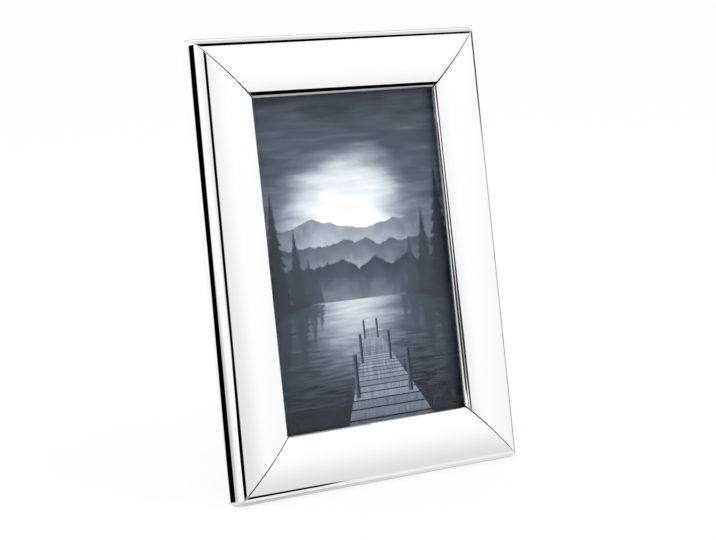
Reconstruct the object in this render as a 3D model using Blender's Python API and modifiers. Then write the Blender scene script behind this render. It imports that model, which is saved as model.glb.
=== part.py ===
# Free-standing steel photo frame for one upright 10 x 15 cm print.
# Four mitred rails of polished steel section hold a glass pane, a print, a card and a back board.
# A hinged strut behind the back board carries the frame, which leans back.
#
# Every piece is placed in the frame's own upright axes: X to the viewer's right, Y to the back, Z up,
# with Y = 0 on the rear plane of the rails and Z = 0 on the outer face of the bottom rail.
# The empty frame_lean then tips the whole frame back and stands it on the table plane.

import bmesh
import bpy
from math import asin, atan2, copysign, cos, pi, radians, sin, sqrt
from mathutils import Euler, Matrix, Vector

MM = 0.001

# Clearances
SEAT_GAP = 0.3 * MM          # between pieces that rest on, fit in or turn on each other
SIDE_GAP = 0.5 * MM          # round the edges of the glass, print, card and board
MITRE_GAP = 0.3 * MM         # across each mitre
KEY_SIDE_GAP = 2.8 * MM      # each side of a corner key to the walls of its rail
CUT_OVERRUN = 1.0 * MM       # how far a cut runs past the surface that it opens

# Glass, print, card and board
PRINT_WIDTH = 101.6 * MM
PRINT_HEIGHT = 152.4 * MM
PRINT_THICKNESS = 0.25 * MM
GLASS_THICKNESS = 2.0 * MM
CARD_THICKNESS = 0.5 * MM
BOARD_THICKNESS = 3.0 * MM
BOARD_EDGE_RADIUS = 0.4 * MM

# Section of the rails
SHEET = 0.8 * MM
POCKET_INSET = 19.2 * MM     # outer wall to the wall beside the glass
LEDGE_WIDTH = 6.7 * MM       # ledge in front of the glass
GLASS_SETBACK = 4.3 * MM     # crest of the face to the ledge
CREST_INSET = 15.0 * MM      # outer wall to the crest of the bowed face
FACE_RADIUS = 36.5 * MM
SHOULDER_RADIUS = 4.8 * MM
OPENING_EDGE_RADIUS = 2.0 * MM
FOLD_RADIUS = 1.0 * MM
LEDGE_CORNER_RADIUS = 0.4 * MM
BACK_EDGE_RADIUS = 1.5 * MM
PLAN_CORNER_RADIUS = 1.5 * MM  # the frame's outer corners, seen from the front
SEAM_REACH = 2.2 * MM        # pocket wall to the seam in the rear flange
SEAM_GAP = 0.6 * MM

# Corner keys and their screws
KEY_LEG = 32.0 * MM          # outer corner to the end of each leg
KEY_THICKNESS = 4.5 * MM
KEY_CORNER_RADIUS = 1.2 * MM
KEY_SCREW_MARGIN = 8.0 * MM  # each screw to the end of its leg
SCREW_RADIUS = 1.2 * MM
SCREW_LENGTH = 4.6 * MM
SCREW_HEAD_RADIUS = 2.3 * MM
SCREW_HEAD_HEIGHT = 1.3 * MM
SCREW_SLOT_WIDTH = 0.6 * MM
SCREW_SLOT_DEPTH = 0.6 * MM

# Turn buttons
BUTTON_INSET = 10.5 * MM     # outer wall to the button's rivet
BUTTON_SPREAD = 84.0 * MM    # between the two buttons of one side rail
BUTTON_GRIP = 6.3 * MM       # how far the button's tip reaches over the back board
BUTTON_HEEL_RADIUS = 4.2 * MM
BUTTON_TIP_RADIUS = 3.0 * MM
BUTTON_THICKNESS = 0.8 * MM
RIVET_RADIUS = 1.1 * MM
RIVET_HEAD_RADIUS = 2.3 * MM
RIVET_HEAD_HEIGHT = 0.9 * MM
RIVET_CLINCH_RADIUS = 1.9 * MM
RIVET_CLINCH_HEIGHT = 0.5 * MM

# Strut and its hinge
LEAN = radians(12.0)
STRUT_SPREAD = radians(23.0) # between the back board and the open strut
HINGE_HEIGHT = 128.0 * MM
STRUT_THICKNESS = 2.8 * MM
STRUT_TOP_WIDTH = 30.0 * MM
STRUT_FOOT_WIDTH = 48.0 * MM
STRUT_CORNER_RADIUS = 3.0 * MM
LEAF_THICKNESS = 0.8 * MM
BARREL_RADIUS = 2.2 * MM
PIN_RADIUS = 0.9 * MM
PIN_HEAD_RADIUS = 1.6 * MM
PIN_HEAD_HEIGHT = 0.7 * MM
MOVING_BARREL_LENGTH = 14.0 * MM
FIXED_BARREL_LENGTH = 8.0 * MM
FIXED_LEAF_HEIGHT = 20.0 * MM
MOVING_LEAF_HEIGHT = 28.0 * MM
STOP_LIP_HEIGHT = 7.0 * MM
BOARD_RIVET_MARGIN = 7.0 * MM  # each board rivet to the upper edge of the fixed leaf
STRUT_RIVET_MARGIN = 6.0 * MM  # lower strut rivet to the lower end of the moving leaf
STRUT_RIVET_PITCH = 11.0 * MM

# Worked out from the sizes above
POCKET_WIDTH = PRINT_WIDTH + 2 * SIDE_GAP
POCKET_HEIGHT = PRINT_HEIGHT + 2 * SIDE_GAP
OUTER_WIDTH = POCKET_WIDTH + 2 * POCKET_INSET
OUTER_HEIGHT = POCKET_HEIGHT + 2 * POCKET_INSET
OPENING_INSET = POCKET_INSET + LEDGE_WIDTH
SEAM_INSET = POCKET_INSET - SEAM_REACH
KEY_INSET = SHEET + KEY_SIDE_GAP
KEY_WIDTH = POCKET_INSET - 2 * KEY_INSET
KEY_LINE = KEY_INSET + KEY_WIDTH / 2
KEY_SCREW_REACH = KEY_LEG - KEY_SCREW_MARGIN
BUTTON_REACH = POCKET_INSET + SIDE_GAP + BUTTON_GRIP - BUTTON_TIP_RADIUS - BUTTON_INSET
LEDGE_Y = -(GLASS_THICKNESS + PRINT_THICKNESS + CARD_THICKNESS + BOARD_THICKNESS + 4 * SEAT_GAP)
CREST_Y = LEDGE_Y - GLASS_SETBACK
HINGE_Y = SEAT_GAP + BARREL_RADIUS

# Colours: base colour, metallic, roughness
FINISHES = {
    "polished_steel": ((0.86, 0.86, 0.87), 1.0, 0.06),
    "cast_aluminium": ((0.60, 0.61, 0.62), 1.0, 0.40),
    "plated_steel": ((0.72, 0.72, 0.72), 1.0, 0.25),
    "clear_glass": ((0.92, 0.95, 0.95), 0.0, 0.03),
    "photo_paper": ((0.36, 0.39, 0.43), 0.0, 0.30),
    "white_card": ((0.86, 0.85, 0.82), 0.0, 0.80),
    "black_velour": ((0.015, 0.015, 0.017), 0.0, 0.95),
}


def clear_scene():
    for old in list(bpy.data.objects):
        bpy.data.objects.remove(old, do_unlink=True)


def new_collection(name):
    collection = bpy.data.collections.new(name)
    bpy.context.scene.collection.children.link(collection)
    return collection


def new_material(name, finish):
    colour, metallic, roughness = FINISHES[finish]
    material = bpy.data.materials.new(name)
    material.use_nodes = True
    shader = material.node_tree.nodes["Principled BSDF"]
    shader.inputs["Base Color"].default_value = (*colour, 1.0)
    shader.inputs["Metallic"].default_value = metallic
    shader.inputs["Roughness"].default_value = roughness
    if finish == "clear_glass":
        shader.inputs["Transmission Weight"].default_value = 0.9
        shader.inputs["Alpha"].default_value = 0.35
    return material


def add_part(name, mesh, finish, parent, location=(0, 0, 0), rotation=(0, 0, 0)):
    # One visible piece, with its own material, in the frame's collection.
    piece = bpy.data.objects.new(name, mesh)
    PARTS.objects.link(piece)
    mesh.materials.clear()
    mesh.materials.append(new_material(name, finish))
    piece.parent = parent
    piece.location = location
    piece.rotation_euler = rotation
    return piece


def add_cutter(name, mesh, parent, location=(0, 0, 0), rotation=(0, 0, 0)):
    cutter = bpy.data.objects.new(name, mesh)
    CUTTERS.objects.link(cutter)
    cutter.parent = parent
    cutter.location = location
    cutter.rotation_euler = rotation
    cutter.hide_render = True
    cutter.display_type = "WIRE"
    return cutter


def boolean(piece, cutter, operation="DIFFERENCE"):
    modifier = piece.modifiers.new(operation.lower() + "_" + cutter.name, "BOOLEAN")
    modifier.operation = operation
    modifier.solver = "EXACT"
    modifier.object = cutter


def box_mesh(name, low, high):
    # A box between two corners, in the axes of the object that takes it.
    low, high = Vector(low), Vector(high)
    mesh = bpy.data.meshes.new(name)
    bm = bmesh.new()
    bmesh.ops.create_cube(bm, size=1.0)
    bmesh.ops.scale(bm, vec=high - low, verts=bm.verts)
    bmesh.ops.translate(bm, vec=(low + high) / 2, verts=bm.verts)
    bm.to_mesh(mesh)
    bm.free()
    return mesh


def add_cylinder(bm, radius, start, end, segments):
    # A capped cylinder whose axis runs from start to end.
    start, end = Vector(start), Vector(end)
    along = end - start
    turn = along.to_track_quat("Z", "Y").to_matrix().to_4x4()
    bmesh.ops.create_cone(
        bm, cap_ends=True, segments=segments, radius1=radius, radius2=radius, depth=along.length,
        matrix=Matrix.Translation((start + end) / 2) @ turn)


def cylinder_mesh(name, radius, ends, segments=16):
    # One or more cylinders of one radius, each given by the two ends of its axis.
    mesh = bpy.data.meshes.new(name)
    bm = bmesh.new()
    for start, end in ends:
        add_cylinder(bm, radius, start, end, segments)
    bm.to_mesh(mesh)
    bm.free()
    return mesh


def outline_mesh(name, outline, thickness):
    # A flat plate in the XZ plane, from a closed outline of (x, z) points, centred on Y = 0.
    curve = bpy.data.curves.new(name, "CURVE")
    curve.dimensions = "2D"
    curve.fill_mode = "BOTH"
    curve.extrude = thickness / 2
    spline = curve.splines.new("POLY")
    spline.points.add(len(outline) - 1)
    for point, (x, z) in zip(spline.points, outline):
        point.co = (x, z, 0, 1)
    spline.use_cyclic_u = True
    drawn = bpy.data.objects.new(name + "_outline", curve)
    bpy.context.scene.collection.objects.link(drawn)
    bpy.context.view_layer.update()
    depsgraph = bpy.context.evaluated_depsgraph_get()
    mesh = bpy.data.meshes.new_from_object(drawn.evaluated_get(depsgraph))
    bpy.data.objects.remove(drawn, do_unlink=True)
    bpy.data.curves.remove(curve)
    mesh.name = name
    bm = bmesh.new()
    bm.from_mesh(mesh)
    bmesh.ops.remove_doubles(bm, verts=bm.verts, dist=0.001 * MM)
    bmesh.ops.rotate(bm, verts=bm.verts, matrix=Matrix.Rotation(pi / 2, 3, "X"))
    bmesh.ops.recalc_face_normals(bm, faces=bm.faces)
    bm.to_mesh(mesh)
    bm.free()
    return mesh


def arc(centre_a, centre_b, radius, start, end, steps):
    # Points on a circle, from one angle to another, both ends included.
    points = []
    for step in range(steps + 1):
        angle = start + (end - start) * step / steps
        points.append((centre_a + radius * cos(angle), centre_b + radius * sin(angle)))
    return points


def rounded(corners, radius, steps=5):
    # The outline through the corners, with each corner rounded, which may turn either way.
    outline = []
    count = len(corners)
    for index in range(count):
        here = Vector(corners[index])
        before = (Vector(corners[index - 1]) - here).normalized()
        after = (Vector(corners[(index + 1) % count]) - here).normalized()
        half_angle = before.angle(after) / 2
        centre = here + (before + after).normalized() * radius / sin(half_angle)
        first = here + before * radius * cos(half_angle) / sin(half_angle) - centre
        last = here + after * radius * cos(half_angle) / sin(half_angle) - centre
        start = atan2(first.y, first.x)
        sweep = (atan2(last.y, last.x) - start + pi) % (2 * pi) - pi
        outline += arc(centre.x, centre.y, radius, start, start + sweep, steps)
    return outline


def turned_mesh(name, profile):
    # The profile of a turned piece as loose edges: (radius, height) points, from the top down.
    mesh = bpy.data.meshes.new(name)
    edges = [(index, index + 1) for index in range(len(profile) - 1)]
    mesh.from_pydata([(radius, 0, height) for radius, height in profile], edges, [])
    return mesh


def turn(piece, steps=16):
    screw = piece.modifiers.new("turned", "SCREW")
    screw.axis = "Z"
    screw.angle = 2 * pi
    screw.steps = steps
    screw.render_steps = steps
    screw.use_merge_vertices = True
    screw.merge_threshold = 0.001 * MM
    screw.use_smooth_shade = True


def smooth(piece, angle=radians(35.0)):
    piece.data.shade_smooth()
    piece.data.set_sharp_from_angle(angle=angle)


# Rails

def rail_section():
    # The outer skin of the section as (inset from the outer wall, y) points.
    # It runs from the seam in the rear flange, past the pocket wall, the ledge, the opening edge,
    # the bowed face and the outer wall, back to the seam.
    face_centre_y = CREST_Y + FACE_RADIUS

    def tangent_circle(inset, radius):
        # Centre of a circle inside the face's circle that touches it, and the angle of the touch.
        offset = inset - CREST_INSET
        centre_y = face_centre_y - sqrt((FACE_RADIUS - radius) ** 2 - offset ** 2)
        return centre_y, atan2(centre_y - face_centre_y, offset)

    edge_inset = OPENING_INSET - OPENING_EDGE_RADIUS
    edge_y, edge_angle = tangent_circle(edge_inset, OPENING_EDGE_RADIUS)
    shoulder_y, shoulder_angle = tangent_circle(SHOULDER_RADIUS, SHOULDER_RADIUS)

    points = [(SEAM_INSET + SEAM_GAP / 2, 0.0)]
    points += arc(POCKET_INSET - FOLD_RADIUS, -FOLD_RADIUS, FOLD_RADIUS, pi / 2, 0, 5)
    points += arc(POCKET_INSET + LEDGE_CORNER_RADIUS, LEDGE_Y + LEDGE_CORNER_RADIUS, LEDGE_CORNER_RADIUS,
                  pi, pi * 1.5, 3)
    points += arc(OPENING_INSET - FOLD_RADIUS, LEDGE_Y - FOLD_RADIUS, FOLD_RADIUS, pi / 2, 0, 6)
    points += arc(edge_inset, edge_y, OPENING_EDGE_RADIUS, 0, edge_angle, 12)
    points += arc(CREST_INSET, face_centre_y, FACE_RADIUS, edge_angle, shoulder_angle, 24)[1:]
    points += arc(SHOULDER_RADIUS, shoulder_y, SHOULDER_RADIUS, shoulder_angle, -pi, 14)[1:]
    points += arc(BACK_EDGE_RADIUS, -BACK_EDGE_RADIUS, BACK_EDGE_RADIUS, pi, pi / 2, 8)
    points.append((SEAM_INSET - SEAM_GAP / 2, 0.0))
    return points


def skin_mesh(name, length):
    # The skin as an open strip along X, with the inset from the outer wall along Z.
    mesh = bpy.data.meshes.new(name)
    bm = bmesh.new()
    row = [bm.verts.new((-length / 2, y, inset)) for inset, y in rail_section()]
    edges = [bm.edges.new(pair) for pair in zip(row, row[1:])]
    swept = bmesh.ops.extrude_edge_only(bm, edges=edges)
    moved = [item for item in swept["geom"] if isinstance(item, bmesh.types.BMVert)]
    bmesh.ops.translate(bm, vec=(length, 0, 0), verts=moved)
    bm.to_mesh(mesh)
    bm.free()
    return mesh


def mitre_mesh(name, length):
    # A block around the section whose two ends slope inwards at 45 degrees.
    low = (-length / 2, CREST_Y - CUT_OVERRUN, -CUT_OVERRUN)
    high = (length / 2, CUT_OVERRUN, OPENING_INSET + CUT_OVERRUN)
    mesh = box_mesh(name, low, high)
    for vertex in mesh.vertices:
        vertex.co.x -= copysign(1, vertex.co.x) * (vertex.co.z + MITRE_GAP / sqrt(2))
    return mesh


def plan_mesh(name):
    # The frame's whole outline with its rounded corners, deep enough to hold the rails.
    across = OUTER_WIDTH / 2
    corners = [(-across, 0), (across, 0), (across, OUTER_HEIGHT), (-across, OUTER_HEIGHT)]
    mesh = outline_mesh(name, rounded(corners, PLAN_CORNER_RADIUS), CUT_OVERRUN * 2 - CREST_Y)
    mesh.transform(Matrix.Translation((0, CREST_Y / 2, 0)))
    return mesh


def add_rail(name, length, location, angle, plan, screws, rivets):
    # screws and rivets: distances of the holes along the rail, from its middle.
    place = dict(parent=LEAN_EMPTY, location=location, rotation=(0, angle, 0))
    rail = add_part(name, skin_mesh(name, length), "polished_steel", **place)
    smooth(rail)
    solidify = rail.modifiers.new("sheet", "SOLIDIFY")
    solidify.thickness = SHEET
    solidify.offset = 1.0
    solidify.use_even_offset = True
    boolean(rail, add_cutter(name + "_mitres", mitre_mesh(name + "_mitres", length), **place), "INTERSECT")
    boolean(rail, plan, "INTERSECT")
    holes = [(along, KEY_LINE, SCREW_RADIUS) for along in screws]
    holes += [(along, BUTTON_INSET, RIVET_RADIUS) for along in rivets]
    for number, (along, inset, radius) in enumerate(holes, start=1):
        ends = [((along, -SHEET - CUT_OVERRUN, inset), (along, CUT_OVERRUN, inset))]
        hole_name = f"{name}_hole_{number}"
        mesh = cylinder_mesh(hole_name, radius + SEAT_GAP, ends)
        boolean(rail, add_cutter(hole_name, mesh, **place))
    return rail


def add_rails():
    across, up = OUTER_WIDTH / 2, OUTER_HEIGHT / 2
    cross_screws = (KEY_SCREW_REACH - across, across - KEY_SCREW_REACH)
    side_screws = (KEY_SCREW_REACH - up, up - KEY_SCREW_REACH)
    rivets = (-BUTTON_SPREAD / 2, BUTTON_SPREAD / 2)
    plan = add_cutter("plan_outline", plan_mesh("plan_outline"), LEAN_EMPTY)
    add_rail("bottom_rail", OUTER_WIDTH, (0, 0, 0), 0, plan, cross_screws, ())
    add_rail("top_rail", OUTER_WIDTH, (0, 0, OUTER_HEIGHT), pi, plan, cross_screws, ())
    add_rail("left_rail", OUTER_HEIGHT, (-across, 0, up), pi / 2, plan, side_screws, rivets)
    add_rail("right_rail", OUTER_HEIGHT, (across, 0, up), -pi / 2, plan, side_screws, rivets)


# Corner keys and screws

def add_corner(corner, side, level):
    # side is -1 at the left and 1 at the right, level is -1 at the bottom and 1 at the top.
    outer_x = side * OUTER_WIDTH / 2
    outer_z = OUTER_HEIGHT / 2 * (1 + level)

    def inwards(along_x, along_z):
        return (outer_x - side * along_x, outer_z - level * along_z)

    near, far = KEY_INSET, KEY_INSET + KEY_WIDTH
    corners = [inwards(*point) for point in (
        (near, near), (KEY_LEG, near), (KEY_LEG, far), (far, far), (far, KEY_LEG), (near, KEY_LEG))]
    key_place = (0, -(SHEET + SEAT_GAP + KEY_THICKNESS / 2), 0)
    mesh = outline_mesh("corner_key_" + corner, rounded(corners, KEY_CORNER_RADIUS), KEY_THICKNESS)
    key = add_part("corner_key_" + corner, mesh, "cast_aluminium", LEAN_EMPTY, location=key_place)
    places = {"a": inwards(KEY_SCREW_REACH, KEY_LINE), "b": inwards(KEY_LINE, KEY_SCREW_REACH)}
    through = KEY_THICKNESS / 2 + CUT_OVERRUN
    for letter, (x, z) in places.items():
        ends = [((x, -through, z), (x, through, z))]
        hole_name = f"key_hole_{corner}_{letter}"
        mesh = cylinder_mesh(hole_name, SCREW_RADIUS + SEAT_GAP, ends)
        boolean(key, add_cutter(hole_name, mesh, LEAN_EMPTY, location=key_place))
        add_key_screw(f"key_screw_{corner}_{letter}", x, z)


def add_key_screw(name, x, z):
    # A pan-head screw, turned about Z and laid along Y, with a driving slot across its head.
    head = arc(0, SEAT_GAP, SCREW_HEAD_RADIUS, pi / 2, 0, 4)
    rise = SCREW_HEAD_HEIGHT / SCREW_HEAD_RADIUS
    profile = [(radius, SEAT_GAP + (height - SEAT_GAP) * rise) for radius, height in head]
    profile += [(SCREW_RADIUS, SEAT_GAP), (SCREW_RADIUS, -SCREW_LENGTH), (0, -SCREW_LENGTH)]
    profile[0] = (0, profile[0][1])
    place = dict(parent=LEAN_EMPTY, location=(x, 0, z), rotation=(-pi / 2, 0, 0))
    screw = add_part(name, turned_mesh(name, profile), "plated_steel", **place)
    turn(screw)
    slot_floor = SEAT_GAP + SCREW_HEAD_HEIGHT - SCREW_SLOT_DEPTH
    slot_end = SCREW_HEAD_RADIUS + CUT_OVERRUN
    low = (-slot_end, -SCREW_SLOT_WIDTH / 2, slot_floor)
    high = (slot_end, SCREW_SLOT_WIDTH / 2, slot_floor + SCREW_SLOT_DEPTH + CUT_OVERRUN)
    boolean(screw, add_cutter(name + "_slot", box_mesh(name + "_slot", low, high), **place))


def add_corners():
    for corner, side, level in (("bottom_left", -1, -1), ("bottom_right", 1, -1),
                                ("top_left", -1, 1), ("top_right", 1, 1)):
        add_corner(corner, side, level)


# Glass, print, card and back board

def add_pack():
    layers = (
        ("glass_pane", GLASS_THICKNESS, "clear_glass"),
        ("photo_print", PRINT_THICKNESS, "photo_paper"),
        ("backing_card", CARD_THICKNESS, "white_card"),
        ("back_board", BOARD_THICKNESS, "black_velour"))
    front = LEDGE_Y
    middle = OUTER_HEIGHT / 2
    made = {}
    for name, thickness, finish in layers:
        front += SEAT_GAP
        low = (-PRINT_WIDTH / 2, 0, -PRINT_HEIGHT / 2)
        high = (PRINT_WIDTH / 2, thickness, PRINT_HEIGHT / 2)
        mesh = box_mesh(name, low, high)
        made[name] = add_part(name, mesh, finish, LEAN_EMPTY, location=(0, front, middle))
        front += thickness
    board = made["back_board"]
    bevel = board.modifiers.new("rounded_edges", "BEVEL")
    bevel.width = BOARD_EDGE_RADIUS
    bevel.segments = 2
    bevel.limit_method = "ANGLE"
    return board


# Turn buttons

def link_outline(heel, tip, reach, steps=12):
    # Two circles joined by their outer tangents: the heel at the origin, the tip at +X.
    slope = asin((heel - tip) / reach)
    outline = arc(0, 0, heel, pi / 2 - slope, pi * 1.5 + slope, steps * 2)
    outline += arc(reach, 0, tip, slope - pi / 2, pi / 2 - slope, steps)
    return outline


def rivet_profile(grip):
    # From the top down: a low domed head, the shank through the grip, and the clinched end.
    rise = RIVET_HEAD_HEIGHT / RIVET_HEAD_RADIUS
    dome = arc(0, 0, RIVET_HEAD_RADIUS, pi / 2, 0, 4)
    profile = [(radius, grip + height * rise) for radius, height in dome]
    profile[0] = (0, profile[0][1])
    profile += [(RIVET_RADIUS, grip), (RIVET_RADIUS, 0), (RIVET_CLINCH_RADIUS, 0),
                (RIVET_CLINCH_RADIUS, -RIVET_CLINCH_HEIGHT), (0, -RIVET_CLINCH_HEIGHT)]
    return profile


def add_turn_button(suffix, side, z):
    # The button's origin and its rivet's axis are one line, the button's joint.
    x = side * (OUTER_WIDTH / 2 - BUTTON_INSET)
    name = "turn_button_" + suffix
    outline = link_outline(BUTTON_HEEL_RADIUS, BUTTON_TIP_RADIUS, BUTTON_REACH)
    mesh = outline_mesh(name, outline, BUTTON_THICKNESS)
    facing = 0 if side < 0 else pi
    button_y = SEAT_GAP + BUTTON_THICKNESS / 2
    place = dict(parent=LEAN_EMPTY, location=(x, button_y, z), rotation=(0, facing, 0))
    button = add_part(name, mesh, "plated_steel", **place)
    hole_name = name + "_hole"
    through = BUTTON_THICKNESS / 2 + CUT_OVERRUN
    ends = [((0, -through, 0), (0, through, 0))]
    boolean(button, add_cutter(hole_name, cylinder_mesh(hole_name, RIVET_RADIUS + SEAT_GAP, ends), **place))

    grip = SHEET + SEAT_GAP + BUTTON_THICKNESS + 2 * SEAT_GAP
    rivet_name = "turn_button_rivet_" + suffix
    rivet = add_part(rivet_name, turned_mesh(rivet_name, rivet_profile(grip)), "plated_steel", LEAN_EMPTY,
                     location=(x, -SHEET - SEAT_GAP, z), rotation=(-pi / 2, 0, 0))
    turn(rivet)


def add_turn_buttons():
    for side, side_name in ((-1, "left"), (1, "right")):
        for level, level_name in ((-1, "lower"), (1, "upper")):
            z = OUTER_HEIGHT / 2 + level * BUTTON_SPREAD / 2
            add_turn_button(f"{side_name}_{level_name}", side, z)


# Strut and hinge

def barrel_mesh(name, start, end, radius=BARREL_RADIUS):
    return cylinder_mesh(name, radius, [((start, 0, 0), (end, 0, 0))], segments=24)


def add_hinge(board):
    # The fixed leaf, the pin and the fixed leaf's rivets. Their origin is the pin's axis.
    axis = dict(parent=LEAN_EMPTY, location=(0, HINGE_Y, HINGE_HEIGHT))
    half_moving = MOVING_BARREL_LENGTH / 2
    inner = half_moving + SEAT_GAP
    outer = inner + FIXED_BARREL_LENGTH
    notch_top = BARREL_RADIUS + 2 * SEAT_GAP
    corners = [(-outer, 0), (-inner, 0), (-inner, notch_top), (inner, notch_top), (inner, 0), (outer, 0),
               (outer, FIXED_LEAF_HEIGHT), (-outer, FIXED_LEAF_HEIGHT)]
    mesh = outline_mesh("hinge_leaf_fixed", corners, LEAF_THICKNESS)
    plate_y = SEAT_GAP + LEAF_THICKNESS / 2 - HINGE_Y
    mesh.transform(Matrix.Translation((0, plate_y, 0)))
    leaf = add_part("hinge_leaf_fixed", mesh, "plated_steel", **axis)
    for side_name, start, end in (("left", -outer, -inner), ("right", inner, outer)):
        barrel = "fixed_barrel_" + side_name
        boolean(leaf, add_cutter(barrel, barrel_mesh(barrel, start, end), **axis), "UNION")
    bore_end = outer + CUT_OVERRUN
    bore = barrel_mesh("fixed_leaf_bore", -bore_end, bore_end, PIN_RADIUS + SEAT_GAP)
    boolean(leaf, add_cutter("fixed_leaf_bore", bore, **axis))

    pin_end = outer + SEAT_GAP
    profile = [(0, pin_end + PIN_HEAD_HEIGHT), (PIN_HEAD_RADIUS, pin_end + PIN_HEAD_HEIGHT),
               (PIN_HEAD_RADIUS, pin_end), (PIN_RADIUS, pin_end), (PIN_RADIUS, -pin_end),
               (PIN_HEAD_RADIUS, -pin_end), (PIN_HEAD_RADIUS, -pin_end - PIN_HEAD_HEIGHT),
               (0, -pin_end - PIN_HEAD_HEIGHT)]
    pin = add_part("hinge_pin", turned_mesh("hinge_pin", profile), "plated_steel", parent=LEAN_EMPTY,
                   location=axis["location"], rotation=(0, pi / 2, 0))
    turn(pin)

    recess = RIVET_CLINCH_HEIGHT + 2 * SEAT_GAP
    clinch_y = -BOARD_THICKNESS + recess - SEAT_GAP
    grip = SEAT_GAP + LEAF_THICKNESS + SEAT_GAP - clinch_y
    z = HINGE_HEIGHT + FIXED_LEAF_HEIGHT - BOARD_RIVET_MARGIN
    for side_name, side in (("left", -1), ("right", 1)):
        x = side * (inner + FIXED_BARREL_LENGTH / 2)
        name = "board_rivet_" + side_name
        rivet = add_part(name, turned_mesh(name, rivet_profile(grip)), "plated_steel", LEAN_EMPTY,
                         location=(x, clinch_y, z), rotation=(-pi / 2, 0, 0))
        turn(rivet)
        board_front = -BOARD_THICKNESS - CUT_OVERRUN
        shank = [((x, board_front, z), (x, SEAT_GAP + LEAF_THICKNESS + CUT_OVERRUN, z))]
        mesh = cylinder_mesh(name + "_hole", RIVET_RADIUS + SEAT_GAP, shank)
        hole = add_cutter(name + "_hole", mesh, LEAN_EMPTY)
        boolean(leaf, hole)
        boolean(board, hole)
        pocket = [((x, board_front, z), (x, -BOARD_THICKNESS + recess, z))]
        mesh = cylinder_mesh(name + "_recess", RIVET_CLINCH_RADIUS + SEAT_GAP, pocket)
        boolean(board, add_cutter(name + "_recess", mesh, LEAN_EMPTY))


def add_strut():
    # The pivot empty sits on the pin's axis. Its children are drawn as if folded flat, then it opens them.
    pivot = bpy.data.objects.new("strut_pivot", None)
    PARTS.objects.link(pivot)
    pivot.parent = LEAN_EMPTY
    pivot.location = (0, HINGE_Y, HINGE_HEIGHT)
    pivot.rotation_euler = (STRUT_SPREAD, 0, 0)

    half = MOVING_BARREL_LENGTH / 2
    clinch_front = SEAT_GAP - HINGE_Y
    leaf_front = clinch_front + RIVET_CLINCH_HEIGHT + SEAT_GAP
    strut_front = leaf_front + LEAF_THICKNESS + SEAT_GAP

    # Moving leaf: a strap down the strut, the middle barrel, and the stop lip over the fixed leaf.
    corners = [(-half, 0), (half, 0), (half, -MOVING_LEAF_HEIGHT), (-half, -MOVING_LEAF_HEIGHT)]
    mesh = outline_mesh("hinge_leaf_moving", corners, LEAF_THICKNESS)
    mesh.transform(Matrix.Translation((0, leaf_front + LEAF_THICKNESS / 2, 0)))
    leaf = add_part("hinge_leaf_moving", mesh, "plated_steel", pivot)
    boolean(leaf, add_cutter("moving_barrel", barrel_mesh("moving_barrel", -half, half), pivot), "UNION")
    lip_front = 2 * SEAT_GAP + LEAF_THICKNESS - HINGE_Y
    lip = box_mesh("stop_lip", (-half, lip_front, 0), (half, lip_front + LEAF_THICKNESS, STOP_LIP_HEIGHT))
    lip_object = add_cutter("stop_lip", lip, pivot, rotation=(-STRUT_SPREAD, 0, 0))
    boolean(leaf, lip_object, "UNION")
    bore_end = half + CUT_OVERRUN
    bore = barrel_mesh("moving_leaf_bore", -bore_end, bore_end, PIN_RADIUS + SEAT_GAP)
    boolean(leaf, add_cutter("moving_leaf_bore", bore, pivot))

    # Strut: a tapered board whose foot is cut to stand flat on the table.
    from_vertical = STRUT_SPREAD - LEAN
    axis_up = (Euler((-LEAN, 0, 0)).to_matrix() @ Vector((0, HINGE_Y, HINGE_HEIGHT))).z - table_height()
    foot = -axis_up / cos(from_vertical) - STRUT_THICKNESS
    top = -BARREL_RADIUS - 3 * SEAT_GAP
    corners = [(-STRUT_TOP_WIDTH / 2, top), (STRUT_TOP_WIDTH / 2, top),
               (STRUT_FOOT_WIDTH / 2, foot), (-STRUT_FOOT_WIDTH / 2, foot)]
    outline = rounded(corners, STRUT_CORNER_RADIUS)
    mesh = outline_mesh("strut", outline, STRUT_THICKNESS)
    mesh.transform(Matrix.Translation((0, strut_front + STRUT_THICKNESS / 2, 0)))
    strut = add_part("strut", mesh, "black_velour", pivot)
    wide = STRUT_FOOT_WIDTH
    table = box_mesh("table_cut", (-wide, -wide, -wide), (wide, wide, 0))
    boolean(strut, add_cutter("table_cut", table, pivot, rotation=(-from_vertical, 0, 0),
                              location=(0, 0, -axis_up / cos(from_vertical))))

    lower = MOVING_LEAF_HEIGHT - STRUT_RIVET_MARGIN
    for letter, drop in (("a", lower - STRUT_RIVET_PITCH), ("b", lower)):
        name = "strut_rivet_" + letter
        grip = 3 * SEAT_GAP + LEAF_THICKNESS + STRUT_THICKNESS
        place = (0, clinch_front + RIVET_CLINCH_HEIGHT, -drop)
        rivet = add_part(name, turned_mesh(name, rivet_profile(grip)), "plated_steel", pivot,
                         location=place, rotation=(-pi / 2, 0, 0))
        turn(rivet)
        ends = [((0, clinch_front, -drop), (0, strut_front + STRUT_THICKNESS + CUT_OVERRUN, -drop))]
        mesh = cylinder_mesh(name + "_hole", RIVET_RADIUS + SEAT_GAP, ends)
        hole = add_cutter(name + "_hole", mesh, pivot)
        boolean(leaf, hole)
        boolean(strut, hole)


def table_height():
    # Height of the table plane over the leaning frame's own origin: the round rear bottom edge rests on it.
    return BACK_EDGE_RADIUS * (sin(LEAN) + cos(LEAN) - 1)


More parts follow.
